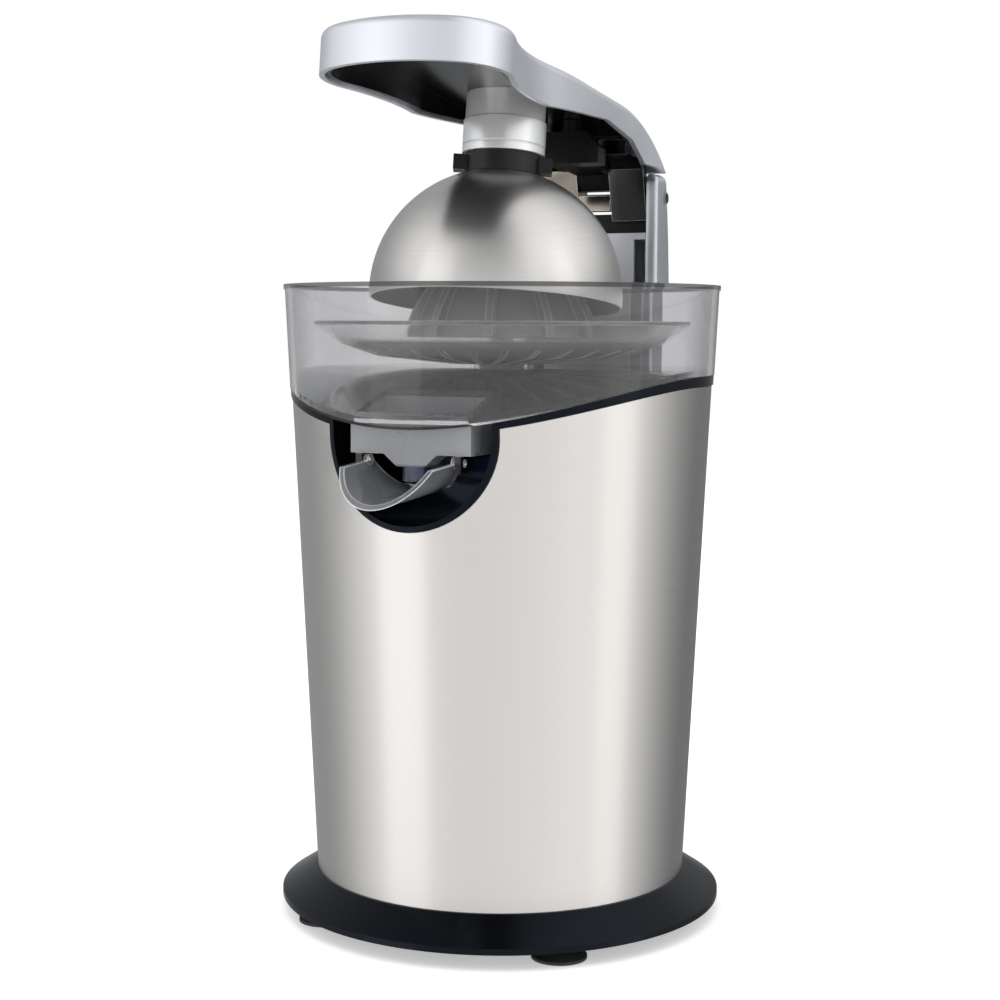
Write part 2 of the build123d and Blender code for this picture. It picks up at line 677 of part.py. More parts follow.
def spout_flap():
    """Open gutter under the nozzle, built level with its pivot at the origin and then placed."""
    radius = (FLAP_HALF_W**2 + FLAP_DEPTH**2) / (2 * FLAP_DEPTH)
    rise = radius - FLAP_DEPTH
    pipe = depth_rod(radius, -FLAP_REACH, FLAP_BACK, 0, rise)
    gutter = pipe - depth_rod(radius - FLAP_T, -FLAP_REACH, FLAP_BACK - FLAP_T, 0, rise)
    back_z = FLAP_BACK_H - FLAP_DEPTH
    gutter &= side_polygon(
        [(-FLAP_SIDE, 0), (-FLAP_REACH, -FLAP_DEPTH), (FLAP_BACK, -FLAP_DEPTH), (FLAP_BACK, back_z),
         (FLAP_BACK - 2 * FLAP_T, back_z), (FLAP_EDGE_BACK, 0)],
        REACH,
    )
    for side in (-1, 1):
        x0 = side * (FLAP_HALF_W - FLAP_T)
        x1 = side * FLAP_HALF_W
        gutter += cross_rod(FLAP_EAR_R, min(x0, x1), max(x0, x1), 0, 0)
        x2 = side * (FLAP_HALF_W + FIT + LUG_T)
        gutter += cross_rod(FLAP_PIN_R, min(x0, x2), max(x0, x2), 0, 0)
    return Pos(0, -FLAP_PIVOT_Y, FLAP_Z) * Rot(FLAP_TILT, 0, 0) * gutter


# Reamer and drive shaft
def cone_outline(base_r, z0, height, tip_r):
    """Half outline of a bulging cone in the XZ plane, closed along the axis."""
    mid_z = z0 + (height + REAMER_EDGE) / 2
    mid = ((base_r + tip_r) / 2 + REAMER_BULGE, 0, mid_z + REAMER_BULGE)
    curve = ThreePointArc((base_r, 0, z0 + REAMER_EDGE), mid, (tip_r, 0, z0 + height))
    rest = Polyline(
        (tip_r, 0, z0 + height), (0, 0, z0 + height), (0, 0, z0), (base_r, 0, z0),
        (base_r, 0, z0 + REAMER_EDGE),
    )
    return make_face([curve, *rest.edges()])


def shaft_section(z0, z1, clearance=0.0):
    """Length of shaft with two driving flats."""
    flats = block(-REACH, REACH, -SHAFT_FLAT - clearance, SHAFT_FLAT + clearance, z0, z1)
    return rod(SHAFT_R + clearance, z0, z1) & flats


def reamer_cone():
    core = revolve(cone_outline(REAMER_CORE_R, REAMER_Z, REAMER_H - 2, REAMER_TIP_R), Axis.Z)
    fin = extrude(cone_outline(REAMER_R, REAMER_Z, REAMER_H, REAMER_TIP_R), REAMER_FIN_T / 2, both=True)
    reamer = core + [Rot(0, 0, 360 / REAMER_FINS * i) * fin for i in range(REAMER_FINS)]
    hollow_r = REAMER_CORE_R - REAMER_T
    reamer -= revolve(cone_outline(hollow_r, REAMER_Z, REAMER_H - 3 * REAMER_T, REAMER_TIP_R), Axis.Z)
    reamer += rod(REAMER_HUB_R, SHAFT_TOP_Z - SHAFT_TOP_FLATS, SHAFT_TOP_Z + REAMER_T)
    return reamer - shaft_section(SHAFT_TOP_Z - SHAFT_TOP_FLATS, SHAFT_TOP_Z, RUN)


def drive_shaft():
    gear_low = OUTPUT_Z - PRESS_TRAVEL
    gear_high = CASE_TOP_Z - CASE_PLATE
    shaft = rod(SHAFT_JOURNAL_R, SHAFT_Z, gear_low)
    shaft += shaft_section(gear_low, gear_high + PRESS_TRAVEL)
    shaft += rod(SHAFT_R, gear_high + PRESS_TRAVEL, SHAFT_TOP_Z - SHAFT_TOP_FLATS)
    return shaft + shaft_section(SHAFT_TOP_Z - SHAFT_TOP_FLATS, SHAFT_TOP_Z)


def upper_bush():
    return tube(BUSH_R, SHAFT_R + RUN, DECK_Z, BOWL_Z + CHIMNEY_H - SEAL_H)


def shaft_seal():
    return tube(BUSH_R, SHAFT_R + RUN, BOWL_Z + CHIMNEY_H - SEAL_H, BOWL_Z + CHIMNEY_H)


def lower_bush():
    """Bush with a tall collar that carries the gear and lets the shaft's step dip into it."""
    top = OUTPUT_HUB_Z - FIT
    bush = rod(BUSH_R, CASE_Z - CASE_BOSS_H, CASE_FLOOR_Z) + rod(CUP_R, CASE_FLOOR_Z, top)
    bush -= rod(SHAFT_JOURNAL_R + RUN, 0, top)
    return bush - rod(SHAFT_R + RUN, top - PRESS_TRAVEL - FIT, top)


# Gears
OUTPUT_HUB_Z = OUTPUT_Z - PRESS_TRAVEL + RUN
CASE_BOSS_H = 6.0


def gear_blank(teeth, module, shift, z0, thickness):
    """Spur gear with involute flanks, one tooth centred on the X axis."""
    pitch_r = module * teeth / 2
    base_r = pitch_r * cos(radians(PRESSURE_ANGLE))
    tip_r = pitch_r + module * (ADDENDUM + shift)
    root_r = pitch_r - module * (DEDENDUM - shift)
    involute = tan(radians(PRESSURE_ANGLE)) - radians(PRESSURE_ANGLE)
    half = pi / (2 * teeth) + 2 * shift * tan(radians(PRESSURE_ANGLE)) / teeth - BACKLASH / (4 * pitch_r)

    def flank(radius):
        if radius <= base_r:
            return half + involute
        roll = sqrt((radius / base_r) ** 2 - 1)
        return half + involute - (roll - atan2(roll, 1))

    low_r = max(root_r, base_r)
    mid_r = (low_r + tip_r) / 2
    edges = []
    for i in range(teeth):
        middle = 2 * pi * i / teeth
        step = 2 * pi / teeth

        def at(radius, angle):
            return (radius * cos(angle), radius * sin(angle))

        rising = [at(r, middle - flank(r)) for r in (low_r, mid_r, tip_r)]
        falling = [at(r, middle + flank(r)) for r in (tip_r, mid_r, low_r)]
        root_in = at(root_r, middle - flank(root_r))
        root_out = at(root_r, middle + flank(root_r))
        next_root = at(root_r, middle + step - flank(root_r))
        if root_r < low_r:
            edges += [Line(root_in, rising[0]), Line(falling[2], root_out)]
        edges += [ThreePointArc(*rising), Line(rising[2], falling[0]), ThreePointArc(*falling)]
        edges.append(Line(root_out, next_root))
    return raised(make_face(edges), z0, thickness)


def angle_to(x0, y0, x1, y1):
    return degrees(atan2(y1 - y0, x1 - x0))


def motor_pinion():
    toward_idler = angle_to(0, MOTOR_OFFSET, IDLER_X, IDLER_Y)
    blank = gear_blank(PINION_TEETH, MODULE_FAST, PINION_SHIFT, IDLER_Z - 1, MOTOR_PINION_T)
    pinion = Pos(0, MOTOR_OFFSET, 0) * Rot(0, 0, toward_idler) * blank
    return pinion - rod(MOTOR_SHAFT_R + SEAT, 0, REACH * 2, 0, MOTOR_OFFSET)


def idler_gear():
    """Wheel and pinion in one piece; each has a gap or a tooth on its line of centres."""
    toward_motor = angle_to(IDLER_X, IDLER_Y, 0, MOTOR_OFFSET)
    toward_output = angle_to(IDLER_X, IDLER_Y, 0, 0)
    wheel = gear_blank(IDLER_TEETH, MODULE_FAST, -PINION_SHIFT, IDLER_Z, IDLER_GEAR_T)
    small = gear_blank(IDLER_PINION_TEETH, MODULE_SLOW, PINION_SHIFT, IDLER_PINION_Z, IDLER_PINION_T)
    gear = Rot(0, 0, toward_motor + 180 / IDLER_TEETH) * wheel + Rot(0, 0, toward_output) * small
    gear -= rod(GEAR_AXLE_R + RUN, 0, REACH * 2)
    return Pos(IDLER_X, IDLER_Y, 0) * gear


def output_gear():
    toward_idler = angle_to(0, 0, IDLER_X, IDLER_Y)
    blank = gear_blank(OUTPUT_TEETH, MODULE_SLOW, -PINION_SHIFT, OUTPUT_Z, OUTPUT_GEAR_T)
    gear = Rot(0, 0, toward_idler + 180 / OUTPUT_TEETH) * blank
    gear += rod(OUTPUT_HUB_R, OUTPUT_HUB_Z, CASE_TOP_Z - CASE_PLATE - FIT)
    return gear - shaft_section(0, REACH * 2, RUN)


def idler_axle():
    return rod(GEAR_AXLE_R, CASE_Z, CASE_TOP_Z - CASE_PLATE / 2, IDLER_X, IDLER_Y)


# Gearbox casing
OUTPUT_ROOM = OUTPUT_TIP_R + CASE_CLEAR
IDLER_ROOM = IDLER_TIP_R + CASE_CLEAR
PINION_ROOM = PINION_TIP_R + CASE_CLEAR
IDLER_ANGLE = degrees(atan2(IDLER_Y, IDLER_X))
CASE_LUG_PLACES = [
    (-OUTPUT_ROOM - CASE_LUG_R / 2, 0.0),
    (0.0, -OUTPUT_ROOM - CASE_LUG_R / 2),
]
for lug_angle in (IDLER_ANGLE - 60, IDLER_ANGLE + 40):
    lug_x, lug_y = polar(IDLER_ROOM + CASE_LUG_R / 2, lug_angle)
    CASE_LUG_PLACES.append((IDLER_X + lug_x, IDLER_Y + lug_y))


def case_outline(wall):
    """Hull around the gears, with lugs for the casing screws."""
    circles = [
        Circle(OUTPUT_ROOM + wall).edge(),
        Pos(IDLER_X, IDLER_Y, 0) * Circle(IDLER_ROOM + wall).edge(),
        Pos(0, MOTOR_OFFSET, 0) * Circle(PINION_ROOM + wall).edge(),
    ]
    return make_hull(ShapeList(circles))


def case_lugs(z0, z1):
    return [rod(CASE_LUG_R, z0, z1, x, y) for x, y in CASE_LUG_PLACES]


def case_screw_holes():
    return [rod(SCREW_R + FIT, 0, REACH * 2, x, y) for x, y in CASE_LUG_PLACES]


def gearbox_base():
    plate = raised(case_outline(CASE_T), CASE_Z, CASE_PLATE)
    plate += case_lugs(CASE_Z, CASE_FLOOR_Z)
    plate += rod(BUSH_R + CASE_T, CASE_Z - CASE_BOSS_H, CASE_Z)
    plate -= rod(BUSH_R + SEAT, 0, REACH * 2)
    plate -= rod(MOTOR_BUSH_R + FIT, 0, REACH * 2, 0, MOTOR_OFFSET)
    plate -= rod(GEAR_AXLE_R + SEAT, 0, REACH * 2, IDLER_X, IDLER_Y)
    for x, y in MOTOR_SCREW_PLACES + BRACKET_SCREW_PLACES:
        plate -= rod(SCREW_R + FIT, 0, REACH * 2, x, y)
    return plate - case_screw_holes()


def gearbox_cover():
    height = CASE_TOP_Z - CASE_FLOOR_Z
    cover = raised(case_outline(CASE_T), CASE_FLOOR_Z, height)
    cover += case_lugs(CASE_FLOOR_Z, CASE_TOP_Z)
    cover -= raised(case_outline(0), CASE_FLOOR_Z, height - CASE_PLATE)
    cover -= rod(SHAFT_R + FIT, 0, REACH * 2)
    cover -= rod(GEAR_AXLE_R + SEAT, 0, CASE_TOP_Z - CASE_PLATE / 2, IDLER_X, IDLER_Y)
    return cover - case_screw_holes()


def gearbox_screws():
    length = CASE_TOP_Z - CASE_Z + CASE_GRIP - FIT
    return [Pos(x, y, CASE_Z) * pan_screw(length) for x, y in CASE_LUG_PLACES]


# Motor
MOTOR_SCREW_PLACES = [(side * MOTOR_R / 2, MOTOR_OFFSET + MOTOR_R / 3) for side in (-1, 1)]
BRACKET_SCREW_PLACES = [(side * (BRACKET_HALF_L - BRACKET_T * 3), -BRACKET_HALF_W / 2) for side in (-1, 1)]
STATOR_R = MOTOR_R - MOTOR_WALL - SEAT
STATOR_Z = MOTOR_Z + MOTOR_WALL + MOTOR_BUSH_H + WINDING_H + FIT


def motor_can():
    can = tube(MOTOR_R, MOTOR_R - MOTOR_WALL, MOTOR_Z, MOTOR_TOP_Z - MOTOR_CAP_T, 0, MOTOR_OFFSET)
    can += rod(MOTOR_R, MOTOR_Z, MOTOR_Z + MOTOR_WALL, 0, MOTOR_OFFSET)
    can += rod(MOTOR_BUSH_R + MOTOR_WALL, MOTOR_Z, MOTOR_Z + MOTOR_BUSH_H, 0, MOTOR_OFFSET)
    return can - rod(MOTOR_BUSH_R + SEAT, MOTOR_Z, MOTOR_Z + MOTOR_BUSH_H, 0, MOTOR_OFFSET)


def motor_end_cap():
    cap = rod(MOTOR_R, MOTOR_TOP_Z - MOTOR_CAP_T, MOTOR_TOP_Z, 0, MOTOR_OFFSET)
    cap -= rod(MOTOR_BUSH_R + SEAT, 0, REACH * 2, 0, MOTOR_OFFSET)
    return cap - [rod(SCREW_R + SEAT, 0, REACH * 2, x, y) for x, y in MOTOR_SCREW_PLACES]


def motor_bushes():
    low = tube(MOTOR_BUSH_R, MOTOR_SHAFT_R + RUN, MOTOR_Z, MOTOR_Z + MOTOR_BUSH_H, 0, MOTOR_OFFSET)
    top_z = MOTOR_TOP_Z - MOTOR_BUSH_H
    return [low, tube(MOTOR_BUSH_R, MOTOR_SHAFT_R + RUN, top_z, MOTOR_TOP_Z, 0, MOTOR_OFFSET)]


def motor_stator():
    return tube(STATOR_R, ROTOR_R + AIR_GAP, STATOR_Z, STATOR_Z + ROTOR_H, 0, MOTOR_OFFSET)


def motor_windings():
    outer = STATOR_R - 2 * MOTOR_WALL
    inner = ROTOR_R + 2 * AIR_GAP
    low = tube(outer, inner, STATOR_Z - WINDING_H, STATOR_Z, 0, MOTOR_OFFSET)
    top_z = STATOR_Z + ROTOR_H
    return [low, tube(outer, inner, top_z, top_z + WINDING_H, 0, MOTOR_OFFSET)]


def motor_rotor():
    top = IDLER_Z - 1 + MOTOR_PINION_T
    rotor = rod(MOTOR_SHAFT_R, MOTOR_Z, top, 0, MOTOR_OFFSET)
    return rotor + rod(ROTOR_R, STATOR_Z, STATOR_Z + ROTOR_H, 0, MOTOR_OFFSET)


def motor_screws():
    length = MOTOR_CAP_T + CASE_PLATE
    return [Pos(x, y, CASE_FLOOR_Z) * Rot(180, 0, 0) * pan_screw(length) for x, y in MOTOR_SCREW_PLACES]


# Thrust cup, spring and start switch
BRACKET_Z = SPRING_Z - BRACKET_T
BUTTON_TOP_Z = CUP_Z - CUP_PIN_L - SWITCH_GAP
SWITCH_TOP_Z = BUTTON_TOP_Z - SWITCH_STICK_OUT


def thrust_cup():
    cup = rod(CUP_R, CUP_Z, CUP_TOP_Z) - rod(SHAFT_JOURNAL_R + RUN, SHAFT_Z, CUP_TOP_Z)
    return cup + rod(CUP_PIN_R, CUP_Z - CUP_PIN_L, CUP_Z)


def press_spring():
    return tube(SPRING_R, SPRING_R - SPRING_WIRE, SPRING_Z, CUP_Z)


def thrust_bracket():
    length, width = BRACKET_HALF_L, BRACKET_HALF_W
    guide_r = CUP_R + RUN + GUIDE_WALL
    strap = block(-length, length, -width, width, BRACKET_Z, SPRING_Z)
    strap += tube(guide_r, CUP_R + RUN, SPRING_Z, CUP_TOP_Z - PRESS_TRAVEL)
    for side in (-1, 1):
        x0 = side * length
        x1 = side * (length - BRACKET_T)
        strap += block(min(x0, x1), max(x0, x1), -width, width, BRACKET_Z, CASE_Z)
        x2 = side * (length - 5 * BRACKET_T)
        strap += block(min(x0, x2), max(x0, x2), -width, width, CASE_Z - BRACKET_T, CASE_Z)
    tab_y = SWITCH_W / 2
    tab = block(-SWITCH_L / 2, SWITCH_L / 2, tab_y, tab_y + BRACKET_T, SWITCH_TOP_Z - SWITCH_H, BRACKET_Z)
    strap += tab
    strap -= rod(CUP_PIN_R + RUN, 0, SPRING_Z)
    for x, y in BRACKET_SCREW_PLACES:
        strap -= rod(SCREW_R + SEAT, CASE_Z - BRACKET_T, CASE_Z, x, y)
    for x, z in SWITCH_SCREW_PLACES:
        strap -= depth_rod(SCREW_R + SEAT, tab_y, tab_y + BRACKET_T, x, z)
    return strap


SWITCH_SCREW_PLACES = [(side * SWITCH_L / 3, SWITCH_TOP_Z - SWITCH_H * 2 / 3) for side in (-1, 1)]


def bracket_screws():
    length = CASE_PLATE + BRACKET_T
    return [Pos(x, y, CASE_FLOOR_Z) * Rot(180, 0, 0) * pan_screw(length) for x, y in BRACKET_SCREW_PLACES]


def start_switch():
    half = SWITCH_L / 2
    body = block(-half, half, -SWITCH_W / 2, SWITCH_W / 2, SWITCH_TOP_Z - SWITCH_H, SWITCH_TOP_Z)
    low = SWITCH_TOP_Z - SWITCH_STICK_OUT - PRESS_TRAVEL
    body -= rod(SWITCH_BUTTON_R + RUN, low, SWITCH_TOP_Z)
    for x, z in SWITCH_SCREW_PLACES:
        body -= depth_rod(SCREW_R + FIT, -SWITCH_W / 2, SWITCH_W / 2, x, z)
    return body


def switch_button():
    return rod(SWITCH_BUTTON_R, SWITCH_TOP_Z - SWITCH_STICK_OUT + FIT, BUTTON_TOP_Z)


def switch_screws():
    length = SWITCH_W + BRACKET_T
    screw = Rot(-90, 0, 0) * pan_screw(length)
    return [Pos(x, -SWITCH_W / 2, z) * screw for x, z in SWITCH_SCREW_PLACES]


# Rear column
COLUMN_SCREW_LEVELS = (SHELL_Z + BASE_UPSTAND / 2, DECK_Z - HOUSING_SKIRT / 2)


def column_back(inset):
    """Back outline of the column, drawn in the YZ plane from the top to the foot."""
    return Spline(
        (0, COLUMN_BACK_TOP_Y - inset, COLUMN_TOP_Z),
        (0, COLUMN_BACK_MID_Y - inset, COLUMN_BACK_MID_Z),
        (0, COLUMN_BACK_LOW_Y - inset, COLUMN_BACK_LOW_Z),
        (0, COLUMN_FOOT_Y - inset, BASE_Z),
    )


def column_block(front, inset, half_width):
    """Slab between a front line of (y, z) points and the back outline."""
    line = Polyline(
        (0, COLUMN_FOOT_Y - inset, BASE_Z), *[(0, y, z) for y, z in front],
        (0, COLUMN_BACK_TOP_Y - inset, COLUMN_TOP_Z),
    )
    return side_block([column_back(inset), *line.edges()], half_width)


def rear_column():
    low_front = SHELL_R_BOTTOM / 2
    column = column_block(
        [(low_front, BASE_Z), (low_front, COLUMN_SHOULDER_Z - BASE_R / 4),
         (COLUMN_FRONT_Y, COLUMN_SHOULDER_Z), (COLUMN_FRONT_Y, COLUMN_TOP_Z)],
        0, COLUMN_HALF_W,
    )
    rear = column.edges().filter_by(GeomType.BSPLINE)
    column = fillet(rear, COLUMN_ROUND)
    crown = [e for e in column.edges().filter_by(Axis.X) if e.center().Z > COLUMN_TOP_Z - FIT]
    column = fillet(crown, COLUMN_TOP_ROUND)
    hollow = column_block(
        [(0, BASE_Z), (0, COLUMN_TOP_Z)], COLUMN_BACK_T, COLUMN_HALF_W - COLUMN_WALL
    )
    column -= hollow
    notch_z = PIVOT_Z - COLUMN_NOTCH_DROP
    half = COLUMN_HALF_W - COLUMN_WALL
    column -= block(-half, half, COLUMN_FRONT_Y, REACH, notch_z, COLUMN_TOP_Z + 1)
    for side in (-1, 1):
        for z in COLUMN_SCREW_LEVELS:
            boss = depth_rod(COLUMN_BOSS_R, low_front, REACH, side * COLUMN_SCREW_X, z)
            column += boss & column_block([(0, BASE_Z), (0, COLUMN_TOP_Z)], COLUMN_BACK_T / 2, half)
    column -= taper(0, SHELL_TOP_Z, FIT)
    column -= turned(
        (0, 0), (BASE_R + FIT, 0), (BASE_R + FIT, BASE_Z + BASE_LIP + FIT),
        (SHELL_R_BOTTOM + BASE_LEDGE + FIT, SHELL_Z + FIT), (0, SHELL_Z + FIT),
    )
    for side in (-1, 1):
        for z in COLUMN_SCREW_LEVELS:
            tip = column_screw_head(z) + COLUMN_SCREW_L
            column -= depth_rod(SCREW_R + SEAT, 0, tip + FIT, side * COLUMN_SCREW_X, z)
    column -= cross_rod(PIVOT_R + SEAT, -REACH, REACH, PIVOT_Y, PIVOT_Z)
    return column - depth_rod(GLAND_R + SEAT, shell_radius(GLAND_Z) + FIT, REACH, 0, GLAND_Z)


def column_screw_head(z):
    """Y of the underside of a screw head that bears on the inner wall at a level."""
    low_wall = SHELL_R_BOTTOM - SHELL_T - FIT - BASE_T
    high_wall = shell_radius(z) - SHELL_T - FIT - HOUSING_WALL
    wall = low_wall if z == COLUMN_SCREW_LEVELS[0] else high_wall
    return sqrt((wall - FIT) ** 2 - (COLUMN_SCREW_X + SCREW_HEAD_R) ** 2)


def column_screws():
    """Screws driven from inside the body into the column's bosses."""
    screw = Rot(-90, 0, 0) * pan_screw(COLUMN_SCREW_L)
    screws = []
    for z in COLUMN_SCREW_LEVELS:
        for side in (-1, 1):
            screws.append(Pos(side * COLUMN_SCREW_X, column_screw_head(z), z) * screw)
    return screws


def column_panel():
    """Front plate of the column's channel, with the shelf under the hinge."""
    top = PIVOT_Z - SHELF_DROP
    half = COLUMN_HALF_W - COLUMN_WALL - FIT
    panel = block(
        -PANEL_HALF_W, PANEL_HALF_W, COLUMN_FRONT_Y, COLUMN_FRONT_Y + PANEL_T, COLUMN_SHOULDER_Z, top
    )
    return panel + block(-half, half, COLUMN_FRONT_Y, COLUMN_BACK_TOP_Y - COLUMN_BACK_T, top - SHELF_T, top)


def cord_gland():
    wall_y = column_back_y(GLAND_Z)
    gland = depth_rod(GLAND_FLANGE_R, wall_y, wall_y + GLAND_FLANGE_T, 0, GLAND_Z)
    gland += depth_rod(GLAND_R, wall_y - 2 * COLUMN_BACK_T, wall_y, 0, GLAND_Z)
    return gland - depth_rod(GLAND_BORE_R, 0, REACH, 0, GLAND_Z)


def column_back_y(z):
    """Outermost Y of the column's back over the gland's flange."""
    levels = (z - GLAND_FLANGE_R, z, z + GLAND_FLANGE_R)
    edge = column_back(0)
    found = []
    for level in levels:
        cut = Plane(origin=(0, 0, level), z_dir=(0, 0, 1))
        found.append(edge.intersect(cut)[0].center().Y)
    return max(found) + FIT


def pivot_pin():
    return cross_rod(PIVOT_R, -COLUMN_HALF_W - FIT, COLUMN_HALF_W + FIT, PIVOT_Y, PIVOT_Z)


def hinge_spacers():
    inner = BARREL_HALF_W + FIT
    outer = COLUMN_HALF_W - COLUMN_WALL - FIT / 2
    spacers = []
    for side in (-1, 1):
        x0, x1 = sorted((side * inner, side * outer))
        ring = cross_rod(BARREL_R, x0, x1, PIVOT_Y, PIVOT_Z)
        spacers.append(ring - cross_rod(PIVOT_R + RUN, x0, x1, PIVOT_Y, PIVOT_Z))
    return spacers


# Lever arm in its pressed position
def arc_chain(points, heading):
    """Arcs through points, each going on from the one before, and the heading at their end."""
    chain = Curve()
    for start, stop in zip(points, points[1:]):
        arc = TangentArc(start, stop, tangent=heading)
        heading = arc % 1
        chain += arc
    return chain, heading


def arc_meeting(start, heading, stop, final):
    """Where two arcs meet that leave start along one heading and reach stop along another."""
    span = stop - start
    along, square = span.dot(heading + final), span.dot(span)
    reach = square / (along + sqrt(along**2 + 2 * (1 - heading.dot(final)) * square))
    return (start + stop + (heading - final) * reach) / 2


def handle_plan(inset):
    """Plan outline of the lever: a broad paddle, a slimmer neck and a square tail."""
    tail, end = COLUMN_HALF_W, HANDLE_END_Y
    neck, root, back = Vector(HANDLE_NECK, HANDLE_NECK_Y), Vector(tail, HANDLE_TAIL_Y), Vector(0, 1)
    corner = (HANDLE_TIP_HALF, HANDLE_TIP_Y + HANDLE_TIP_BOW)
    paddle, heading = arc_chain([(0, HANDLE_TIP_Y), corner, (HANDLE_WIDE, HANDLE_WIDE_Y), neck], (1, 0))
    flare, heading = arc_chain([neck, arc_meeting(neck, heading, root, back), root], heading)
    half = paddle + flare + Polyline(root, (tail, end), (0, end))
    face = make_face(half.edges() + mirror(half, Plane.YZ).edges())
    return offset(face, -inset, kind=Kind.INTERSECTION) if inset else face


HANDLE_UNDERSIDE = [
    (HANDLE_PADDLE_Y, HANDLE_BOTTOM_Z), (HANDLE_WAIST_Y, HANDLE_WAIST_Z), (HANDLE_KNEE_Y, HANDLE_KNEE_Z),
    (HANDLE_DIP_Y, HANDLE_DIP_Z), (HANDLE_HEEL_Y, HANDLE_HEEL_Z),
]


def handle_side(lower, below):
    """Side outline of the lever in the YZ plane, with its top lowered and its underside dropped."""
    top = HANDLE_TOP_Z - lower
    bend_r = HANDLE_BEND_R - lower
    centre_z = HANDLE_TOP_Z - HANDLE_BEND_R
    angle = atan2(HANDLE_END_Y - HANDLE_BEND_Y, HANDLE_END_Z - centre_z)

    def on_bend(share):
        return (0, HANDLE_BEND_Y + bend_r * sin(angle * share), centre_z + bend_r * cos(angle * share))

    curve = ThreePointArc(on_bend(0), on_bend(0.5), on_bend(1))
    end = on_bend(1)
    front = HANDLE_TIP_Y - HANDLE_WIDE
    rest = Polyline(
        end, (0, end[1], end[2] - HANDLE_END_T - below),
        *[(0, y, z - below) for y, z in reversed(HANDLE_UNDERSIDE)],
        (0, front, HANDLE_BOTTOM_Z - below), (0, front, top), (0, HANDLE_BEND_Y, top),
    )
    return side_block([curve, *rest.edges()], REACH)


def handle_shell():
    plan = raised(handle_plan(0), HANDLE_DIP_Z - REACH / 2, REACH)
    body = plan & handle_side(0, 0)
    upper = [e for e in body.edges() if e.center().Z > HANDLE_TOP_Z - 2 * HANDLE_EDGE]
    rim = [e for e in upper if abs(e.center().X) > HANDLE_EDGE]
    body = fillet(rim, HANDLE_EDGE)
    hollow = raised(handle_plan(HANDLE_WALL), HANDLE_DIP_Z - REACH / 2, REACH)
    return body - (hollow & handle_side(HANDLE_WALL, REACH / 10))


def handle_underside():
    """Dark tray inside the silver shell, open downwards, with a hole for the stem."""
    low = HANDLE_DIP_Z - REACH / 2
    ceiling = HANDLE_TOP_Z - TRAY_CEILING_Z
    outer = raised(handle_plan(HANDLE_WALL + FIT), low, REACH)
    inner = raised(handle_plan(HANDLE_WALL + FIT + TRAY_WALL), low, REACH)
    tray = outer & handle_side(ceiling - TRAY_WALL, REACH / 10)
    tray -= inner & handle_side(ceiling, REACH / 5)
    tray &= block(-REACH, REACH, -REACH, TRAY_END_Y, 0, 3 * REACH)
    front = (HANDLE_TIP_Y - HANDLE_WIDE, HANDLE_BOTTOM_Z)
    edge = [(y, z + HANDLE_WALL / 2) for y, z in [front, *HANDLE_UNDERSIDE]]
    tray -= side_polygon([(edge[0][0], 0), *edge, (edge[-1][0], 0)], REACH)
    return tray - rod(STEM_CORE_R + SEAT, 0, 3 * REACH)


def lever_core():
    """Structural block behind the stem, with a spine and a tongue that fills the hinge bracket's slot."""
    w, c, top = CORE_HALF_W, CORE_CHAMFER, CORE_TOP_Z
    section = Polyline(
        (-w, 0, CORE_BOTTOM_Z), (w, 0, CORE_BOTTOM_Z), (w, 0, top - c), (w - c, 0, top),
        (c - w, 0, top), (-w, 0, top - c), close=True,
    )
    core = Pos(0, CORE_FRONT_Y, 0) * extrude(make_face(section.edges()), CORE_T, dir=(0, 1, 0))
    core += block(-SPINE_HALF_W, SPINE_HALF_W, CORE_FRONT_Y, SPINE_BACK_Y, SPINE_BOTTOM_Z, top)
    plate_z = BRACKET_TOP_Z - PRONG_T - FIT
    core += side_polygon(
        [(SPINE_BACK_Y, SPINE_BOTTOM_Z), (SPINE_BACK_Y, plate_z), (BRACKET_BEND_Y, plate_z),
         (PRONG_TOP_Y, PRONG_TOP_Z - 2 * FIT), (TONGUE_END_Y, TONGUE_END_Z),
         (TONGUE_END_Y - PRONG_T, TONGUE_END_Z), (PRONG_TOP_Y - PRONG_T, SPINE_BOTTOM_Z)],
        BARREL_SLOT - FIT,
    )
    for side in (-1, 1):
        core += rod(CORE_BOSS_R, top, TRAY_CEILING_Z - FIT, side * CORE_BOSS_X, CORE_FRONT_Y + CORE_T / 2)
    return core


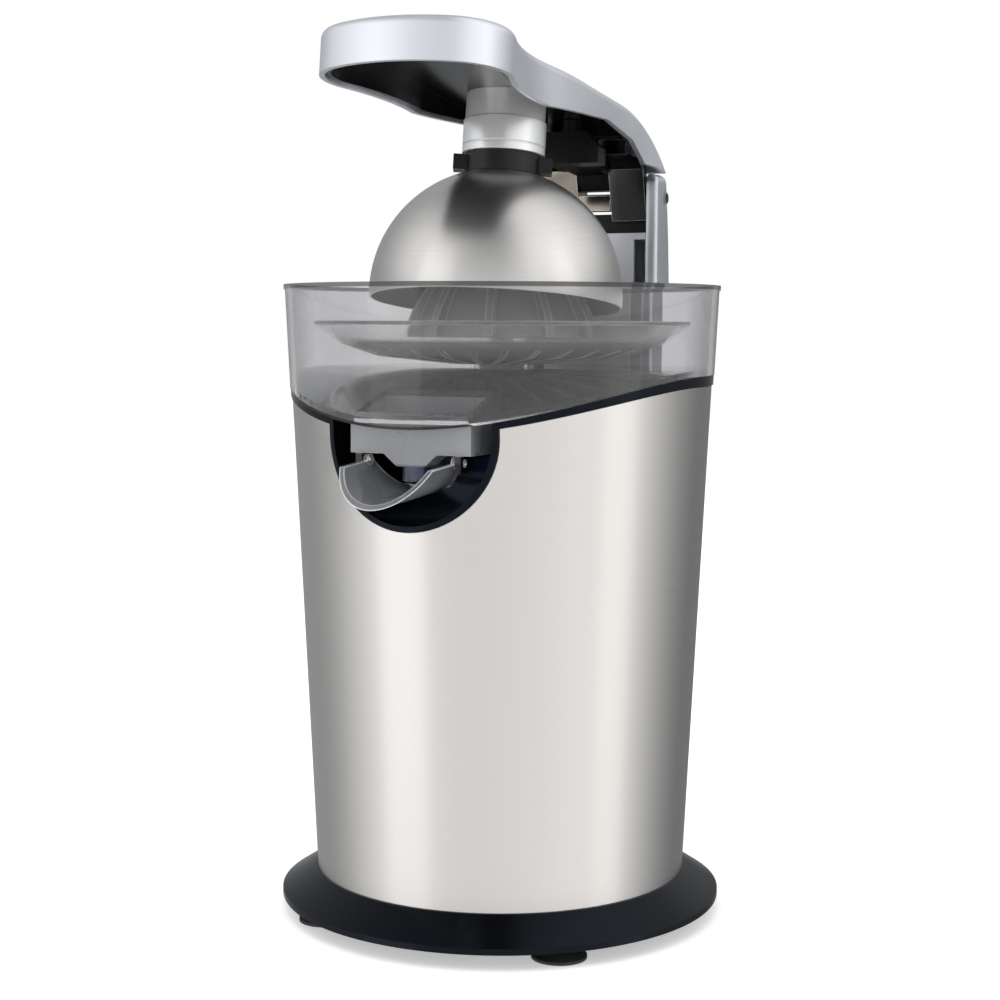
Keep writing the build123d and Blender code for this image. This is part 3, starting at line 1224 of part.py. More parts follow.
def hinge_bracket():
    """Bright bracket: a plate behind the core that bends down into two prongs on the pin."""
    plate_z = BRACKET_TOP_Z - PRONG_T
    bracket = side_polygon(
        [(BRACKET_FRONT_Y, plate_z), (BRACKET_FRONT_Y, BRACKET_TOP_Z), (BRACKET_BEND_Y, BRACKET_TOP_Z),
         (PRONG_TOP_Y, PRONG_TOP_Z), (PRONG_END_Y, PRONG_END_Z), (PRONG_END_Y - PRONG_T, PRONG_END_Z),
         (PRONG_TOP_Y - PRONG_T, PRONG_TOP_Z - PRONG_T / 2), (BRACKET_BEND_Y, plate_z)],
        BARREL_HALF_W,
    )
    bracket -= block(-BARREL_SLOT, BARREL_SLOT, BRACKET_BEND_Y, REACH, 0, 3 * REACH)
    spine = SPINE_HALF_W + FIT
    bracket -= block(-spine, spine, 0, SPINE_BACK_Y + FIT, 0, 3 * REACH)
    bracket += block(
        -BARREL_SLOT, BARREL_SLOT, CROSSBAR_Y, CROSSBAR_Y + CROSSBAR_T, CROSSBAR_Z, CROSSBAR_Z + CROSSBAR_H
    )
    for side in (-1, 1):
        x0, x1 = sorted((side * BARREL_SLOT, side * BARREL_HALF_W))
        bracket += cross_rod(BARREL_R, x0, x1, PIVOT_Y, PIVOT_Z)
        x0, x1 = sorted((side * BRACKET_LIP_IN, side * BARREL_HALF_W))
        lip_y = BRACKET_FRONT_Y + BRACKET_LIP_T
        low, high = plate_z - BRACKET_LIP_OVER, BRACKET_TOP_Z + BRACKET_LIP_OVER
        bracket += block(x0, x1, BRACKET_FRONT_Y, lip_y, low, high)
    return bracket - cross_rod(PIVOT_R + RUN, -REACH, REACH, PIVOT_Y, PIVOT_Z)


def stem_socket():
    """Silver socket under the lever, with a narrower neck above."""
    low = STEM_Z
    socket = turned(
        (0, low), (STEM_R, low), (STEM_R, STEM_NECK_Z), (STEM_NECK_R, STEM_NECK_Z),
        (STEM_NECK_R, STEM_NECK_TOP_Z), (STEM_CORE_R, STEM_NECK_TOP_Z),
        (STEM_CORE_R, HANDLE_TOP_Z - HANDLE_WALL), (0, HANDLE_TOP_Z - HANDLE_WALL),
    )
    return socket - rod(SPIGOT_R + RUN, low, COLLAR_Z + COLLAR_H + SPIGOT_H + FIT)


def stem_ring():
    low = STEM_Z - STEM_GROOVE - STEM_RING_H
    bore = SPIGOT_R + RUN
    return turned(
        (bore, low), (STEM_R, low), (STEM_R, STEM_Z - STEM_GROOVE),
        (STEM_GROOVE_R, STEM_Z - STEM_GROOVE), (STEM_GROOVE_R, STEM_Z), (bore, STEM_Z),
    )


def dome_collar():
    """Black collar on top of the dome, with two grips for twisting it off the stem."""
    top = COLLAR_Z + COLLAR_H
    collar = rod(COLLAR_R, COLLAR_Z, top) + rod(SPIGOT_R, top, top + SPIGOT_H)
    collar += tube(COLLAR_R, DOME_NECK_R, DOME_CENTRE_Z + DOME_R / 2, COLLAR_Z)
    for angle in (COLLAR_LUG_ANGLE, COLLAR_LUG_ANGLE + 180):
        half_w, lug_top = COLLAR_LUG_W / 2, COLLAR_Z + COLLAR_LUG_H
        lug = block(0, COLLAR_LUG_REACH, -half_w, half_w, COLLAR_Z, lug_top)
        collar += Rot(0, 0, angle) * lug
    dome = Pos(0, 0, DOME_CENTRE_Z) * Sphere(DOME_R + FIT / 2)
    collar -= dome - rod(DOME_NECK_R, 0, 3 * REACH)
    return collar - rod(SCREW_R + SEAT, 0, top + SPIGOT_H / 2)


def cup_shape(radius, z0):
    """Part of a ball above a level."""
    ball = Pos(0, 0, DOME_CENTRE_Z) * Sphere(radius)
    return ball & block(-REACH, REACH, -REACH, REACH, z0, DOME_CENTRE_Z + REACH)


def press_dome():
    dome = cup_shape(DOME_R, DOME_RIM_Z) - cup_shape(DOME_R - DOME_T, DOME_RIM_Z)
    return dome - rod(DOME_NECK_R + FIT / 2, DOME_CENTRE_Z, 3 * REACH)


def dome_liner():
    outer = DOME_R - DOME_T - FIT / 2
    liner = cup_shape(outer, DOME_RIM_Z + LINER_RIM) - cup_shape(outer - LINER_T, DOME_RIM_Z)
    return (liner & rod(REACH, 0, COLLAR_Z)) - rod(SCREW_R + FIT, 0, 3 * REACH)


def dome_screw():
    head_z = DOME_CENTRE_Z + DOME_R - DOME_T - FIT / 2 - LINER_T
    return Pos(0, 0, head_z - FIT) * pan_screw(COLLAR_Z + COLLAR_H + SPIGOT_H / 3 - head_z)


def lifted(shape):
    """Arm piece turned about the pivot from the pressed to the rest position."""
    turn = Pos(0, PIVOT_Y, PIVOT_Z) * Rot(-ARM_TILT, 0, 0) * Pos(0, -PIVOT_Y, -PIVOT_Z)
    if isinstance(shape, list):
        return [turn * piece for piece in shape]
    return turn * shape


FIXED = [
    base_ring, bottom_cover, bottom_cover_screws, tie_rods, body_shell, upper_housing, spout_recess,
    juice_bowl, bowl_floor, juice_chute, juice_nozzle, strainer, spout_flap,
    reamer_cone, drive_shaft, upper_bush, shaft_seal, lower_bush,
    motor_pinion, idler_gear, output_gear, idler_axle, gearbox_base, gearbox_cover, gearbox_screws,
    motor_can, motor_end_cap, motor_bushes, motor_stator, motor_windings, motor_rotor, motor_screws,
    thrust_cup, press_spring, thrust_bracket, bracket_screws, start_switch, switch_button, switch_screws,
    rear_column, column_screws, column_panel, cord_gland, pivot_pin, hinge_spacers,
]
ARM = [
    handle_shell, handle_underside, lever_core, hinge_bracket, stem_socket, stem_ring,
    dome_collar, press_dome, dome_liner, dome_screw,
]


def all_pieces():
    pieces = {f"{place}_foot": suction_foot(x, y) for place, (x, y) in FOOT_PLACES.items()}
    pieces.update({make.__name__: make() for make in FIXED})
    pieces.update({make.__name__: lifted(make()) for make in ARM})
    return pieces


os.makedirs("parts", exist_ok=True)
for node, shape in all_pieces().items():
    solid = Compound(children=shape) if isinstance(shape, list) else shape
    export_step(solid, f"parts/{node}.step")
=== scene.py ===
import json
from math import atan2, cos, pi, radians, sin

import bpy
from mathutils import Matrix, Vector


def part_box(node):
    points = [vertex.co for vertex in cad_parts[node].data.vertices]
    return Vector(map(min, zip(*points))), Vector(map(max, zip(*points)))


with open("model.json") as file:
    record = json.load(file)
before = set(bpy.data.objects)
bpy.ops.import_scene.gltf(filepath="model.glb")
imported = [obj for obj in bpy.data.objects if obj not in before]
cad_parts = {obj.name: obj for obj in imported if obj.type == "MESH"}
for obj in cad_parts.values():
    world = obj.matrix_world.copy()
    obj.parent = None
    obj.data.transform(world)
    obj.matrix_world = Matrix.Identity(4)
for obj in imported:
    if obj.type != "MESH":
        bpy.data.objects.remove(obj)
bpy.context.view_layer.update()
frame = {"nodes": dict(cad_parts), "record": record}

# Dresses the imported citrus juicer. Metres, +Z up, the front of the machine faces -Y.

NODES = frame["nodes"]
SCENE = bpy.context.scene
COLLECTION = SCENE.collection

# Camera, as found from the photograph
IMAGE_PX = 1000.0
CAMERA_FOCAL_PX = 1904.0
CAMERA_CENTRE_PX = 501.42
CAMERA_DISTANCE = 0.79869
CAMERA_HEIGHT = 0.24715
CAMERA_AZIMUTH = radians(25.6)
CAMERA_PITCH = 0.0934
CAMERA_ROLL = 0.0036
SENSOR_MM = 36.0

# The arm's tilt at rest, for grain that follows the arm
ARM_TILT = radians(6.7)

# Underside of the bead round the bowl's rim, above which painted shade darkens the bowl
RIM_BEAD_H = 0.0020
RIM_FADE = 0.0004
BOWL_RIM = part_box("juice_bowl")[1][2] - RIM_BEAD_H

# The strainer's flange above its dish; the dish is darker with painted shade
FLANGE_H = 0.0080
FLANGE_FADE = 0.001
FLANGE_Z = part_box("strainer")[1][2] - FLANGE_H

# The chute above the lugs that carry the flap, below which shade is painted black, and the nozzle's boss
# above its pipe
CHUTE_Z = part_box("juice_nozzle")[1][2]
CHUTE_FADE = 0.0002
NOZZLE_PIPE_H = 0.0057
NOZZLE_FADE = 0.001
NOZZLE_PIPE_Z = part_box("juice_nozzle")[0][2] + NOZZLE_PIPE_H

# Where painted shade on the chrome starts and is full, from the middle of the machine to its right
CHROME_PAINTED_SHADE_STARTS_X = 0.002
CHROME_PAINTED_SHADE_FULL_X = 0.012

# The well behind the hinge, above the column's panel, where shade is painted black
PANEL_LOW, PANEL_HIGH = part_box("column_panel")
WELL_SIDE = 0.0005
WELL_FRONT = 0.0023
WELL_BACK = 0.0037
WELL_FLOOR = 0.0001
WELL_H = 0.0325
WELL_LOW = (PANEL_LOW[0] - WELL_SIDE, PANEL_LOW[1] - WELL_FRONT, PANEL_HIGH[2] + WELL_FLOOR)
WELL_HIGH = (PANEL_HIGH[0] + WELL_SIDE, PANEL_HIGH[1] + WELL_BACK, PANEL_HIGH[2] + WELL_H)

# Noise: the levels that it mostly stays between, and how far it changes the gloss of each kind of surface
NOISE_LOW = 0.25
NOISE_MIDDLE = 0.5
NOISE_HIGH = 0.75
CLOUD_SCALE = 38.0
FLOW_SCALE = 26.0
FLOW_VARY = 0.03
FLOW_STRENGTH = 0.03
FLOW_DEPTH = 0.0003
MOULDED_GLOSS_VARY = 0.12
BRUSHED_GLOSS_VARY = 0.05
CLEAR_GLOSS_VARY = 0.4

# Edges: the usual radius, and the cosines of the turn at which a light edge starts and is full
EDGE_RADIUS = 0.0003
EDGE_STARTS = 0.985
EDGE_FULL = 0.88
BEVEL_SAMPLES = 6

# Surfaces
FACING_BLEND = 0.5
EDGE_ON_STARTS = 0.5
QUARTER_TURN = 0.25
PLASTIC_IOR = 1.49
SATIN = {"grain": 2400.0, "depth": 0.000006, "vary": 0.02, "strength": 0.1}
FINE_BRUSHING = {"depth": 0.000003, "strength": 0.03}
SMOOTH_ANGLE = radians(32)
WELD_DISTANCE = 0.000002

# Colour sockets of a Mix node
MIX_FIRST = 6
MIX_SECOND = 7
MIX_RESULT = 2

# Studio
WHITE = (1.0, 1.0, 1.0, 1.0)
# Black for painted shade
PAINTED_SHADE_BLACK = (0.005, 0.005, 0.005, 1.0)
WARM = (1.0, 0.97, 0.93)
COOL = (0.955, 0.98, 1.0)
FLOOR_COLOUR = (0.93, 0.93, 0.93)
FLOOR_GLOW = 0.42
FLOOR_RADIUS = 4.0
FLOOR_SIDES = 64
WORLD_DIFFUSE = 0.80
TARGET = Vector((0.0, 0.0, 0.19))

# What metal mirrors of the studio: degrees from the camera's side to its right, and a level of light
WALLS = [
    (-180, 0.32), (-150, 0.34), (-128, 0.37), (-110, 0.51), (-94, 0.77), (-80, 1.0), (-42, 1.03), (-20, 0.97),
    (0, 1.0), (25, 1.05), (45, 1.13), (75, 1.07), (97, 0.61), (112, 0.37), (132, 0.21), (165, 0.20),
    (180, 0.32),
]
CEILING = [
    (-180, 0.42), (-145, 0.44), (-115, 0.72), (-91, 1.08), (-71, 1.04), (-54, 0.84), (-38, 0.80), (-20, 0.60),
    (5, 0.57), (21, 0.78), (36, 1.16), (52, 1.28), (87, 1.22), (111, 0.98), (140, 0.60), (180, 0.42),
]
OVERHEAD = [
    (-180, 0.15), (-120, 0.4), (-90, 0.4), (-60, 0.4), (-40, 0.2), (0, 0.12), (12, 0.2), (30, 0.8), (60, 1.1),
    (90, 1.15), (125, 1.0), (150, 0.5), (180, 0.15),
]

# How steeply a direction rises where walls blend into the ceiling, and the ceiling into what is overhead
CEILING_RISE = (0.04, 0.45)
OVERHEAD_RISE = (0.65, 0.92)


# Node helpers
def connect(tree, value, socket):
    """Links another node's output to a socket, or sets the socket to a plain value."""
    if isinstance(value, bpy.types.NodeSocket):
        tree.links.new(value, socket)
    else:
        socket.default_value = value


def set_inputs(tree, node, **inputs):
    """Connects a node's inputs by name, with an underscore for a space."""
    for name, value in inputs.items():
        connect(tree, value, node.inputs[name.replace("_", " ")])


def add_node(tree, kind, **inputs):
    node = tree.nodes.new("ShaderNode" + kind)
    set_inputs(tree, node, **inputs)
    return node


def find_node(tree, kind):
    return next(node for node in tree.nodes if node.type == kind)


def calculate(tree, kind, operation, *values):
    """Outputs of a new Math or VectorMath node, which takes its inputs in order."""
    node = add_node(tree, kind)
    node.operation = operation
    for value, socket in zip(values, node.inputs):
        connect(tree, value, socket)
    return node.outputs


def either(tree, first, second):
    return calculate(tree, "Math", "MAXIMUM", first, second)["Value"]


def dot(tree, first, second):
    return calculate(tree, "VectorMath", "DOT_PRODUCT", first, second)["Value"]


def map_range(tree, value, low, high, to_low=0.0, to_high=1.0):
    node = add_node(tree, "MapRange", Value=value, From_Min=low, From_Max=high, To_Min=to_low, To_Max=to_high)
    return node.outputs["Result"]


def blend_colours(tree, factor, first, second):
    node = add_node(tree, "Mix")
    node.data_type = "RGBA"
    connect(tree, factor, node.inputs["Factor"])
    connect(tree, first, node.inputs[MIX_FIRST])
    connect(tree, second, node.inputs[MIX_SECOND])
    return node.outputs[MIX_RESULT]


def ramp(tree, factor, stops):
    """A colour ramp through pairs of a position and a colour."""
    node = add_node(tree, "ValToRGB", Fac=factor)
    elements = node.color_ramp.elements
    for element, (position, colour) in ((elements[0], stops[0]), (elements[1], stops[-1])):
        element.position = position
        element.color = colour
    for position, colour in stops[1:-1]:
        elements.new(position).color = colour
    return node.outputs["Color"]


def object_place(tree):
    return add_node(tree, "TexCoord").outputs["Object"]


def coordinates(tree, scale=(1, 1, 1), tilt=0.0):
    """Object coordinates turned about X, then stretched by a scale on each axis."""
    level = add_node(tree, "Mapping", Vector=object_place(tree), Rotation=(tilt, 0.0, 0.0))
    return add_node(tree, "Mapping", Vector=level.outputs["Vector"], Scale=scale).outputs["Vector"]


def noise(tree, vector, scale=1.0, detail=3.0, roughness=0.55):
    node = add_node(tree, "TexNoise", Vector=vector, Scale=scale, Detail=detail, Roughness=roughness)
    return node.outputs["Fac"]


def spread(tree, factor, value, share):
    """A value that a noise makes smaller or larger by a share."""
    return map_range(tree, factor, NOISE_LOW, NOISE_HIGH, value * (1 - share), value * (1 + share))


def shade(colour, factor):
    return tuple(min(1.0, c * factor) for c in colour) + (1.0,)


def mottle(tree, factor, colour, vary, reach=0.2):
    """A colour that a noise makes darker or lighter by a share, over a reach to each side of its middle."""
    low = (NOISE_MIDDLE - reach, shade(colour, 1 - vary))
    high = (NOISE_MIDDLE + reach, shade(colour, 1 + vary))
    return ramp(tree, factor, [low, high])


def soft_edges(tree, radius):
    """Normals as if edges were rounded over a radius."""
    node = add_node(tree, "Bevel", Radius=radius)
    node.samples = BEVEL_SAMPLES
    return node.outputs["Normal"]


def bump(tree, shader, height, strength, depth, edge=0.0):
    """Relief from a height, on top of edges softened over a radius."""
    node = add_node(tree, "Bump", Height=height, Strength=strength, Distance=depth)
    if edge:
        set_inputs(tree, node, Normal=soft_edges(tree, edge))
    set_inputs(tree, shader, Normal=node.outputs["Normal"])


# Masks
def along(tree, axis, low, high):
    """From 0 to 1 between two places on an axis of the object; low may be the larger one."""
    axes = add_node(tree, "SeparateXYZ", Vector=object_place(tree)).outputs
    return map_range(tree, axes[axis], low, high)


def on_edges(tree, radius):
    """1 along sharp edges, from how far the normal turns where edges are softened over a radius."""
    flat = add_node(tree, "NewGeometry").outputs["Normal"]
    return map_range(tree, dot(tree, soft_edges(tree, radius), flat), EDGE_STARTS, EDGE_FULL)


def inside_box(tree, low, high):
    """1 inside a box given in object coordinates, 0 outside it."""
    middle = [(a + b) / 2 for a, b in zip(low, high)]
    half = [(b - a) / 2 for a, b in zip(low, high)]
    offset = calculate(tree, "VectorMath", "SUBTRACT", object_place(tree), middle)["Vector"]
    away = calculate(tree, "VectorMath", "ABSOLUTE", offset)["Vector"]
    past = calculate(tree, "VectorMath", "SUBTRACT", away, half)["Vector"]
    axes = add_node(tree, "SeparateXYZ", Vector=past).outputs
    worst = either(tree, either(tree, axes["X"], axes["Y"]), axes["Z"])
    return calculate(tree, "Math", "LESS_THAN", worst, 0.0)["Value"]


def seen_directly(tree):
    """1 for what the eye sees, also through clear plastic."""
    path = add_node(tree, "LightPath").outputs
    return either(tree, path["Is Camera Ray"], path["Is Transmission Ray"])


# Materials under the names given here, to which Blender adds a number where the CAD has the same name
MATERIALS = {}


# Kinds of surface, each of which gives back its node tree
def new_material(name):
    material = bpy.data.materials.new(name)
    MATERIALS[name] = material
    material.use_nodes = True
    tree = material.node_tree
    tree.nodes.clear()
    shader = add_node(tree, "BsdfPrincipled")
    add_node(tree, "OutputMaterial", Surface=shader.outputs["BSDF"])
    return tree, shader


def moulded(name, colour, roughness, metallic=0.0, grain=900.0, depth=0.00002, vary=0.12, strength=0.25,
            edge=EDGE_RADIUS, **extra):
    """Plastic, rubber or plain metal: cloudy colour, uneven gloss, a fine surface grain and soft edges."""
    tree, shader = new_material(name)
    cloud = noise(tree, coordinates(tree), CLOUD_SCALE, detail=4.0)
    set_inputs(
        tree, shader, Base_Color=mottle(tree, cloud, colour, vary),
        Roughness=spread(tree, cloud, roughness, MOULDED_GLOSS_VARY), Metallic=metallic, **extra,
    )
    bump(tree, shader, noise(tree, coordinates(tree), grain, detail=2.0), strength, depth, edge)
    return tree


def brushed(name, colour, roughness, stretch, tilt=0.0, anisotropy=0.6, vary=0.05, depth=0.00001,
            strength=0.12):
    """Metal brushed in fine lines: long streaks in colour, gloss and relief."""
    tree, shader = new_material(name)
    streak = noise(tree, coordinates(tree, stretch, tilt), detail=4.0, roughness=0.6)
    tangent = add_node(tree, "Tangent")
    tangent.direction_type = "RADIAL"
    tangent.axis = "Z"
    set_inputs(
        tree, shader, Base_Color=mottle(tree, streak, colour, vary, reach=0.22),
        Roughness=spread(tree, streak, roughness, BRUSHED_GLOSS_VARY), Metallic=1.0,
        Anisotropic=anisotropy, Anisotropic_Rotation=QUARTER_TURN, Tangent=tangent.outputs["Tangent"],
    )
    bump(tree, shader, streak, strength, depth, EDGE_RADIUS)
    return tree


def clear(name, colour, roughness, weight=1.0, edge=1.0, rim=None):
    """Smoky clear plastic with faint flow marks, darker where it is seen edge on, and with painted shade that
    darkens it above a rim's level.
    """
    tree, shader = new_material(name)
    flow = noise(tree, coordinates(tree, (1, 1, 0.4)), FLOW_SCALE)
    tint = mottle(tree, flow, colour, FLOW_VARY)
    if edge < 1.0:
        facing = add_node(tree, "LayerWeight", Blend=FACING_BLEND).outputs["Facing"]
        tint = blend_colours(tree, map_range(tree, facing, EDGE_ON_STARTS, 1.0), tint, shade(colour, edge))
    if rim:
        # Painted shade: a dark line on the rim bead above the given level
        tint = blend_colours(tree, along(tree, "Z", rim, rim + RIM_FADE), tint, shade(colour, edge))
    set_inputs(
        tree, shader, Base_Color=tint, Roughness=spread(tree, flow, roughness, CLEAR_GLOSS_VARY),
        IOR=PLASTIC_IOR, Transmission_Weight=weight,
    )
    bump(tree, shader, flow, FLOW_STRENGTH, FLOW_DEPTH)
    return tree


def lay_over(tree, mask, **inputs):
    """Lays a second surface over the part of a material that a mask picks out."""
    surface = find_node(tree, "OUTPUT_MATERIAL").inputs["Surface"]
    under = surface.links[0].from_socket
    over = add_node(tree, "BsdfPrincipled", **inputs).outputs["BSDF"]
    blend = add_node(tree, "MixShader")
    for value, socket in zip((mask, under, over), blend.inputs):
        connect(tree, value, socket)
    connect(tree, blend.outputs["Shader"], surface)


# Surfaces in layers
def bright_chrome():
    """Chrome with painted reflections: a tan colour for the tan surroundings it mirrors, painted shade that
    darkens it towards the machine's right, and a painted highlight along its edges.
    """
    # Painted reflection: the dark tan stands for the surroundings that the chrome mirrors
    tree = moulded("bright_chrome", (0.30, 0.265, 0.225), roughness=0.10, metallic=1.0, grain=300.0,
                   depth=0.00001, vary=0.04, strength=0.05)
    # Painted shade: darker towards the machine's right
    lay_over(tree, along(tree, "X", CHROME_PAINTED_SHADE_STARTS_X, CHROME_PAINTED_SHADE_FULL_X), Base_Color=(0.10, 0.10, 0.105, 1.0),
             Metallic=1.0, Roughness=0.16)
    # Painted highlight along the edges
    lay_over(tree, on_edges(tree, radius=0.0006), Base_Color=(0.85, 0.84, 0.82, 1.0), Metallic=1.0,
             Roughness=0.3)


def column_silver():
    """Silver, with painted shade: black inside the well behind the hinge."""
    tree = moulded("column_silver", (0.80, 0.825, 0.86), roughness=0.30, metallic=0.95, edge=0.0025, **SATIN)
    # Painted shade: the well is painted black
    lay_over(tree, inside_box(tree, WELL_LOW, WELL_HIGH), Base_Color=PAINTED_SHADE_BLACK, Roughness=0.35,
             Specular_IOR_Level=0.3)


def smoke_strainer():
    """Smoky plastic with a clearer flange above a dish made darker and less clear as painted shade, and a
    painted highlight along the edges of the slots.
    """
    # Painted shade: the smoky base leaves the dish darker and less clear than the flange
    tree = clear("smoke_strainer", (0.66, 0.66, 0.66), roughness=0.2, weight=0.55)
    lay_over(tree, along(tree, "Z", FLANGE_Z - FLANGE_FADE, FLANGE_Z + FLANGE_FADE), Base_Color=WHITE,
             Roughness=0.12, Transmission_Weight=0.88, IOR=1.2)
    # Painted highlight along the edges of the slots
    lay_over(tree, on_edges(tree, radius=0.0005), Base_Color=(0.95, 0.95, 0.95, 1.0), Roughness=0.3)


def reamer_grey():
    """Grey plastic with a painted highlight along the edges of the ribs."""
    tree = moulded("reamer_grey", (0.46, 0.46, 0.46), roughness=0.2, grain=800.0, depth=0.00001,
                   vary=0.08, strength=0.1)
    # Painted highlight along the rib edges
    lay_over(tree, on_edges(tree, radius=0.0012), Base_Color=(0.85, 0.85, 0.85, 1.0), Roughness=0.2)


def frosted_flap():
    """Clear plastic with a painted highlight along its edges."""
    tree = clear("frosted_flap", (0.66, 0.68, 0.71), roughness=0.10, weight=0.85)
    # Painted highlight along the edges
    lay_over(tree, on_edges(tree, radius=0.0007), Base_Color=(0.97, 0.97, 0.97, 1.0), Roughness=0.3)


def frosted_chute():
    """Frosted plastic, with painted shade: black on the lugs under the chute's floor."""
    tree = clear("frosted_chute", (0.55, 0.56, 0.58), roughness=0.3, weight=0.45)
    # Painted shade under the chute's floor
    lay_over(tree, along(tree, "Z", CHUTE_Z, CHUTE_Z - CHUTE_FADE), Base_Color=PAINTED_SHADE_BLACK, Roughness=0.2)


def nozzle_with_painted_blue():
    """A clear pipe, with a bluish tint that is a painted reflection, under a boss as pale as the chute."""
    # Painted reflection: the bluish tint stands for bluish light mirrored in the pipe
    tree = clear("nozzle_with_painted_blue", (0.50, 0.55, 0.80), roughness=0.05, weight=0.95)
    lay_over(tree, along(tree, "Z", NOZZLE_PIPE_Z, NOZZLE_PIPE_Z + NOZZLE_FADE),
             Base_Color=(0.55, 0.56, 0.58, 1.0), Roughness=0.3, Transmission_Weight=0.45)


# Finishes, each with the name of its slot
brushed("shell_steel", (0.68, 0.66, 0.64), roughness=0.28, stretch=(9, 9, 4200), vary=0.018, **FINE_BRUSHING)
brushed("dome_steel", (0.66, 0.645, 0.63), roughness=0.30, stretch=(12, 12, 4200), tilt=-ARM_TILT, vary=0.06,
        **FINE_BRUSHING)
moulded("satin_silver", (0.78, 0.80, 0.85), roughness=0.36, metallic=0.78, **SATIN)
bright_chrome()
# Painted reflection: the bluish tint of the gloss, and of the black, stands for bluish light mirrored in the
# plastic
moulded("black_gloss", (0.0015, 0.0018, 0.0026), roughness=0.11, grain=700.0, depth=0.000006, vary=0.2,
        strength=0.05, Specular_IOR_Level=0.19, Specular_Tint=(0.60, 0.76, 1.0, 1.0))
moulded("black_matte", (0.006, 0.006, 0.007), roughness=0.32, grain=2600.0, depth=0.00001, vary=0.2,
        strength=0.2, Specular_IOR_Level=0.35)
clear("smoke_clear", (0.70, 0.70, 0.71), roughness=0.02, edge=0.25, rim=BOWL_RIM)
smoke_strainer()
reamer_grey()
moulded("black_rubber", (0.018, 0.018, 0.018), roughness=0.6, grain=1800.0, depth=0.00004, vary=0.25,
        strength=0.3)
moulded("plain_steel", (0.55, 0.55, 0.56), roughness=0.3, metallic=1.0, grain=1400.0, vary=0.08, strength=0.2)
moulded("bush_bronze", (0.50, 0.36, 0.2), roughness=0.42, metallic=1.0, grain=2000.0, depth=0.00003,
        strength=0.3)
moulded("gear_nylon", (0.80, 0.78, 0.72), roughness=0.45, vary=0.04, strength=0.2)
moulded("gearbox_grey", (0.16, 0.16, 0.17), roughness=0.5, grain=1500.0, depth=0.00003, strength=0.3)
moulded("motor_zinc", (0.50, 0.51, 0.52), roughness=0.35, metallic=1.0, grain=160.0, vary=0.16, strength=0.2)
brushed("core_iron", (0.22, 0.22, 0.23), roughness=0.5, stretch=(2, 2, 2600), anisotropy=0.2, vary=0.35,
        depth=0.00005)
brushed("copper", (0.62, 0.30, 0.16), roughness=0.32, stretch=(3, 3, 2200), anisotropy=0.3, vary=0.2,
        depth=0.0001)
moulded("switch_black", (0.03, 0.03, 0.03), roughness=0.4, grain=1400.0, vary=0.2)

# Finishes of nodes whose look differs from the rest of their slot
frosted_flap()
frosted_chute()
nozzle_with_painted_blue()
column_silver()
# Painted light: the same silver paint as the handle, made lighter against the shade under the tray
moulded("stem_silver_painted_light", (0.97, 0.975, 0.985), roughness=0.24, metallic=0.5, **SATIN)
moulded("tray_black", (0.006, 0.006, 0.007), roughness=0.2, grain=2600.0, depth=0.000006, vary=0.2,
        strength=0.1)
SPECIAL = {
    "spout_flap": "frosted_flap",
    "juice_chute": "frosted_chute",
    "juice_nozzle": "nozzle_with_painted_blue",
    "handle_underside": "tray_black",
    "rear_column": "column_silver",
    "stem_socket": "stem_silver_painted_light",
    "stem_ring": "stem_silver_painted_light",
}


# Smooth shading of the nodes, as modifiers
def smooth_group():
    group = bpy.data.node_groups.new("smooth_by_angle", "GeometryNodeTree")
    for in_out in ("INPUT", "OUTPUT"):
        group.interface.new_socket("Geometry", in_out=in_out, socket_type="NodeSocketGeometry")
    nodes, links = group.nodes, group.links
    start, end = nodes.new("NodeGroupInput"), nodes.new("NodeGroupOutput")
    faces = nodes.new("GeometryNodeSetShadeSmooth")
    faces.domain = "FACE"
    edges = nodes.new("GeometryNodeSetShadeSmooth")
    edges.domain = "EDGE"
    edges.inputs["Shade Smooth"].default_value = False
    bend = nodes.new("GeometryNodeInputMeshEdgeAngle")
    sharp = nodes.new("FunctionNodeCompare")
    sharp.operation = "GREATER_THAN"
    sharp.inputs["B"].default_value = SMOOTH_ANGLE
    links.new(start.outputs["Geometry"], faces.inputs["Geometry"])
    links.new(faces.outputs["Geometry"], edges.inputs["Geometry"])
    links.new(bend.outputs["Unsigned Angle"], sharp.inputs["A"])
    links.new(sharp.outputs["Result"], edges.inputs["Selection"])
    links.new(edges.outputs["Geometry"], end.inputs["Geometry"])
    return group


def add_smoothing(obj, group):
    weld = obj.modifiers.new("weld", "WELD")
    weld.merge_threshold = WELD_DISTANCE
    shading = obj.modifiers.new("smooth", "NODES")
    shading.node_group = group


def dress_nodes():
    group = smooth_group()
    for part in frame["record"]["subparts"]:
        node = NODES[part["node"]]
        node.data.materials.clear()
        node.data.materials.append(MATERIALS[SPECIAL.get(part["node"], part["material_slot"])])
        add_smoothing(node, group)


# Camera
def place_camera():
    data = bpy.data.cameras.new("camera")
    data.sensor_width = SENSOR_MM
    data.lens = CAMERA_FOCAL_PX / IMAGE_PX * SENSOR_MM
    camera = bpy.data.objects.new("camera", data)
    COLLECTION.objects.link(camera)
    turn = CAMERA_AZIMUTH + atan2(CAMERA_CENTRE_PX - IMAGE_PX / 2, CAMERA_FOCAL_PX)
    place = Matrix.Translation((
        CAMERA_DISTANCE * sin(CAMERA_AZIMUTH), -CAMERA_DISTANCE * cos(CAMERA_AZIMUTH), CAMERA_HEIGHT,
    ))
    aim = Matrix.Rotation(turn, 4, "Z") @ Matrix.Rotation(pi / 2 - CAMERA_PITCH, 4, "X")
    camera.matrix_world = place @ aim @ Matrix.Rotation(CAMERA_ROLL, 4, "Z")
    SCENE.camera = camera


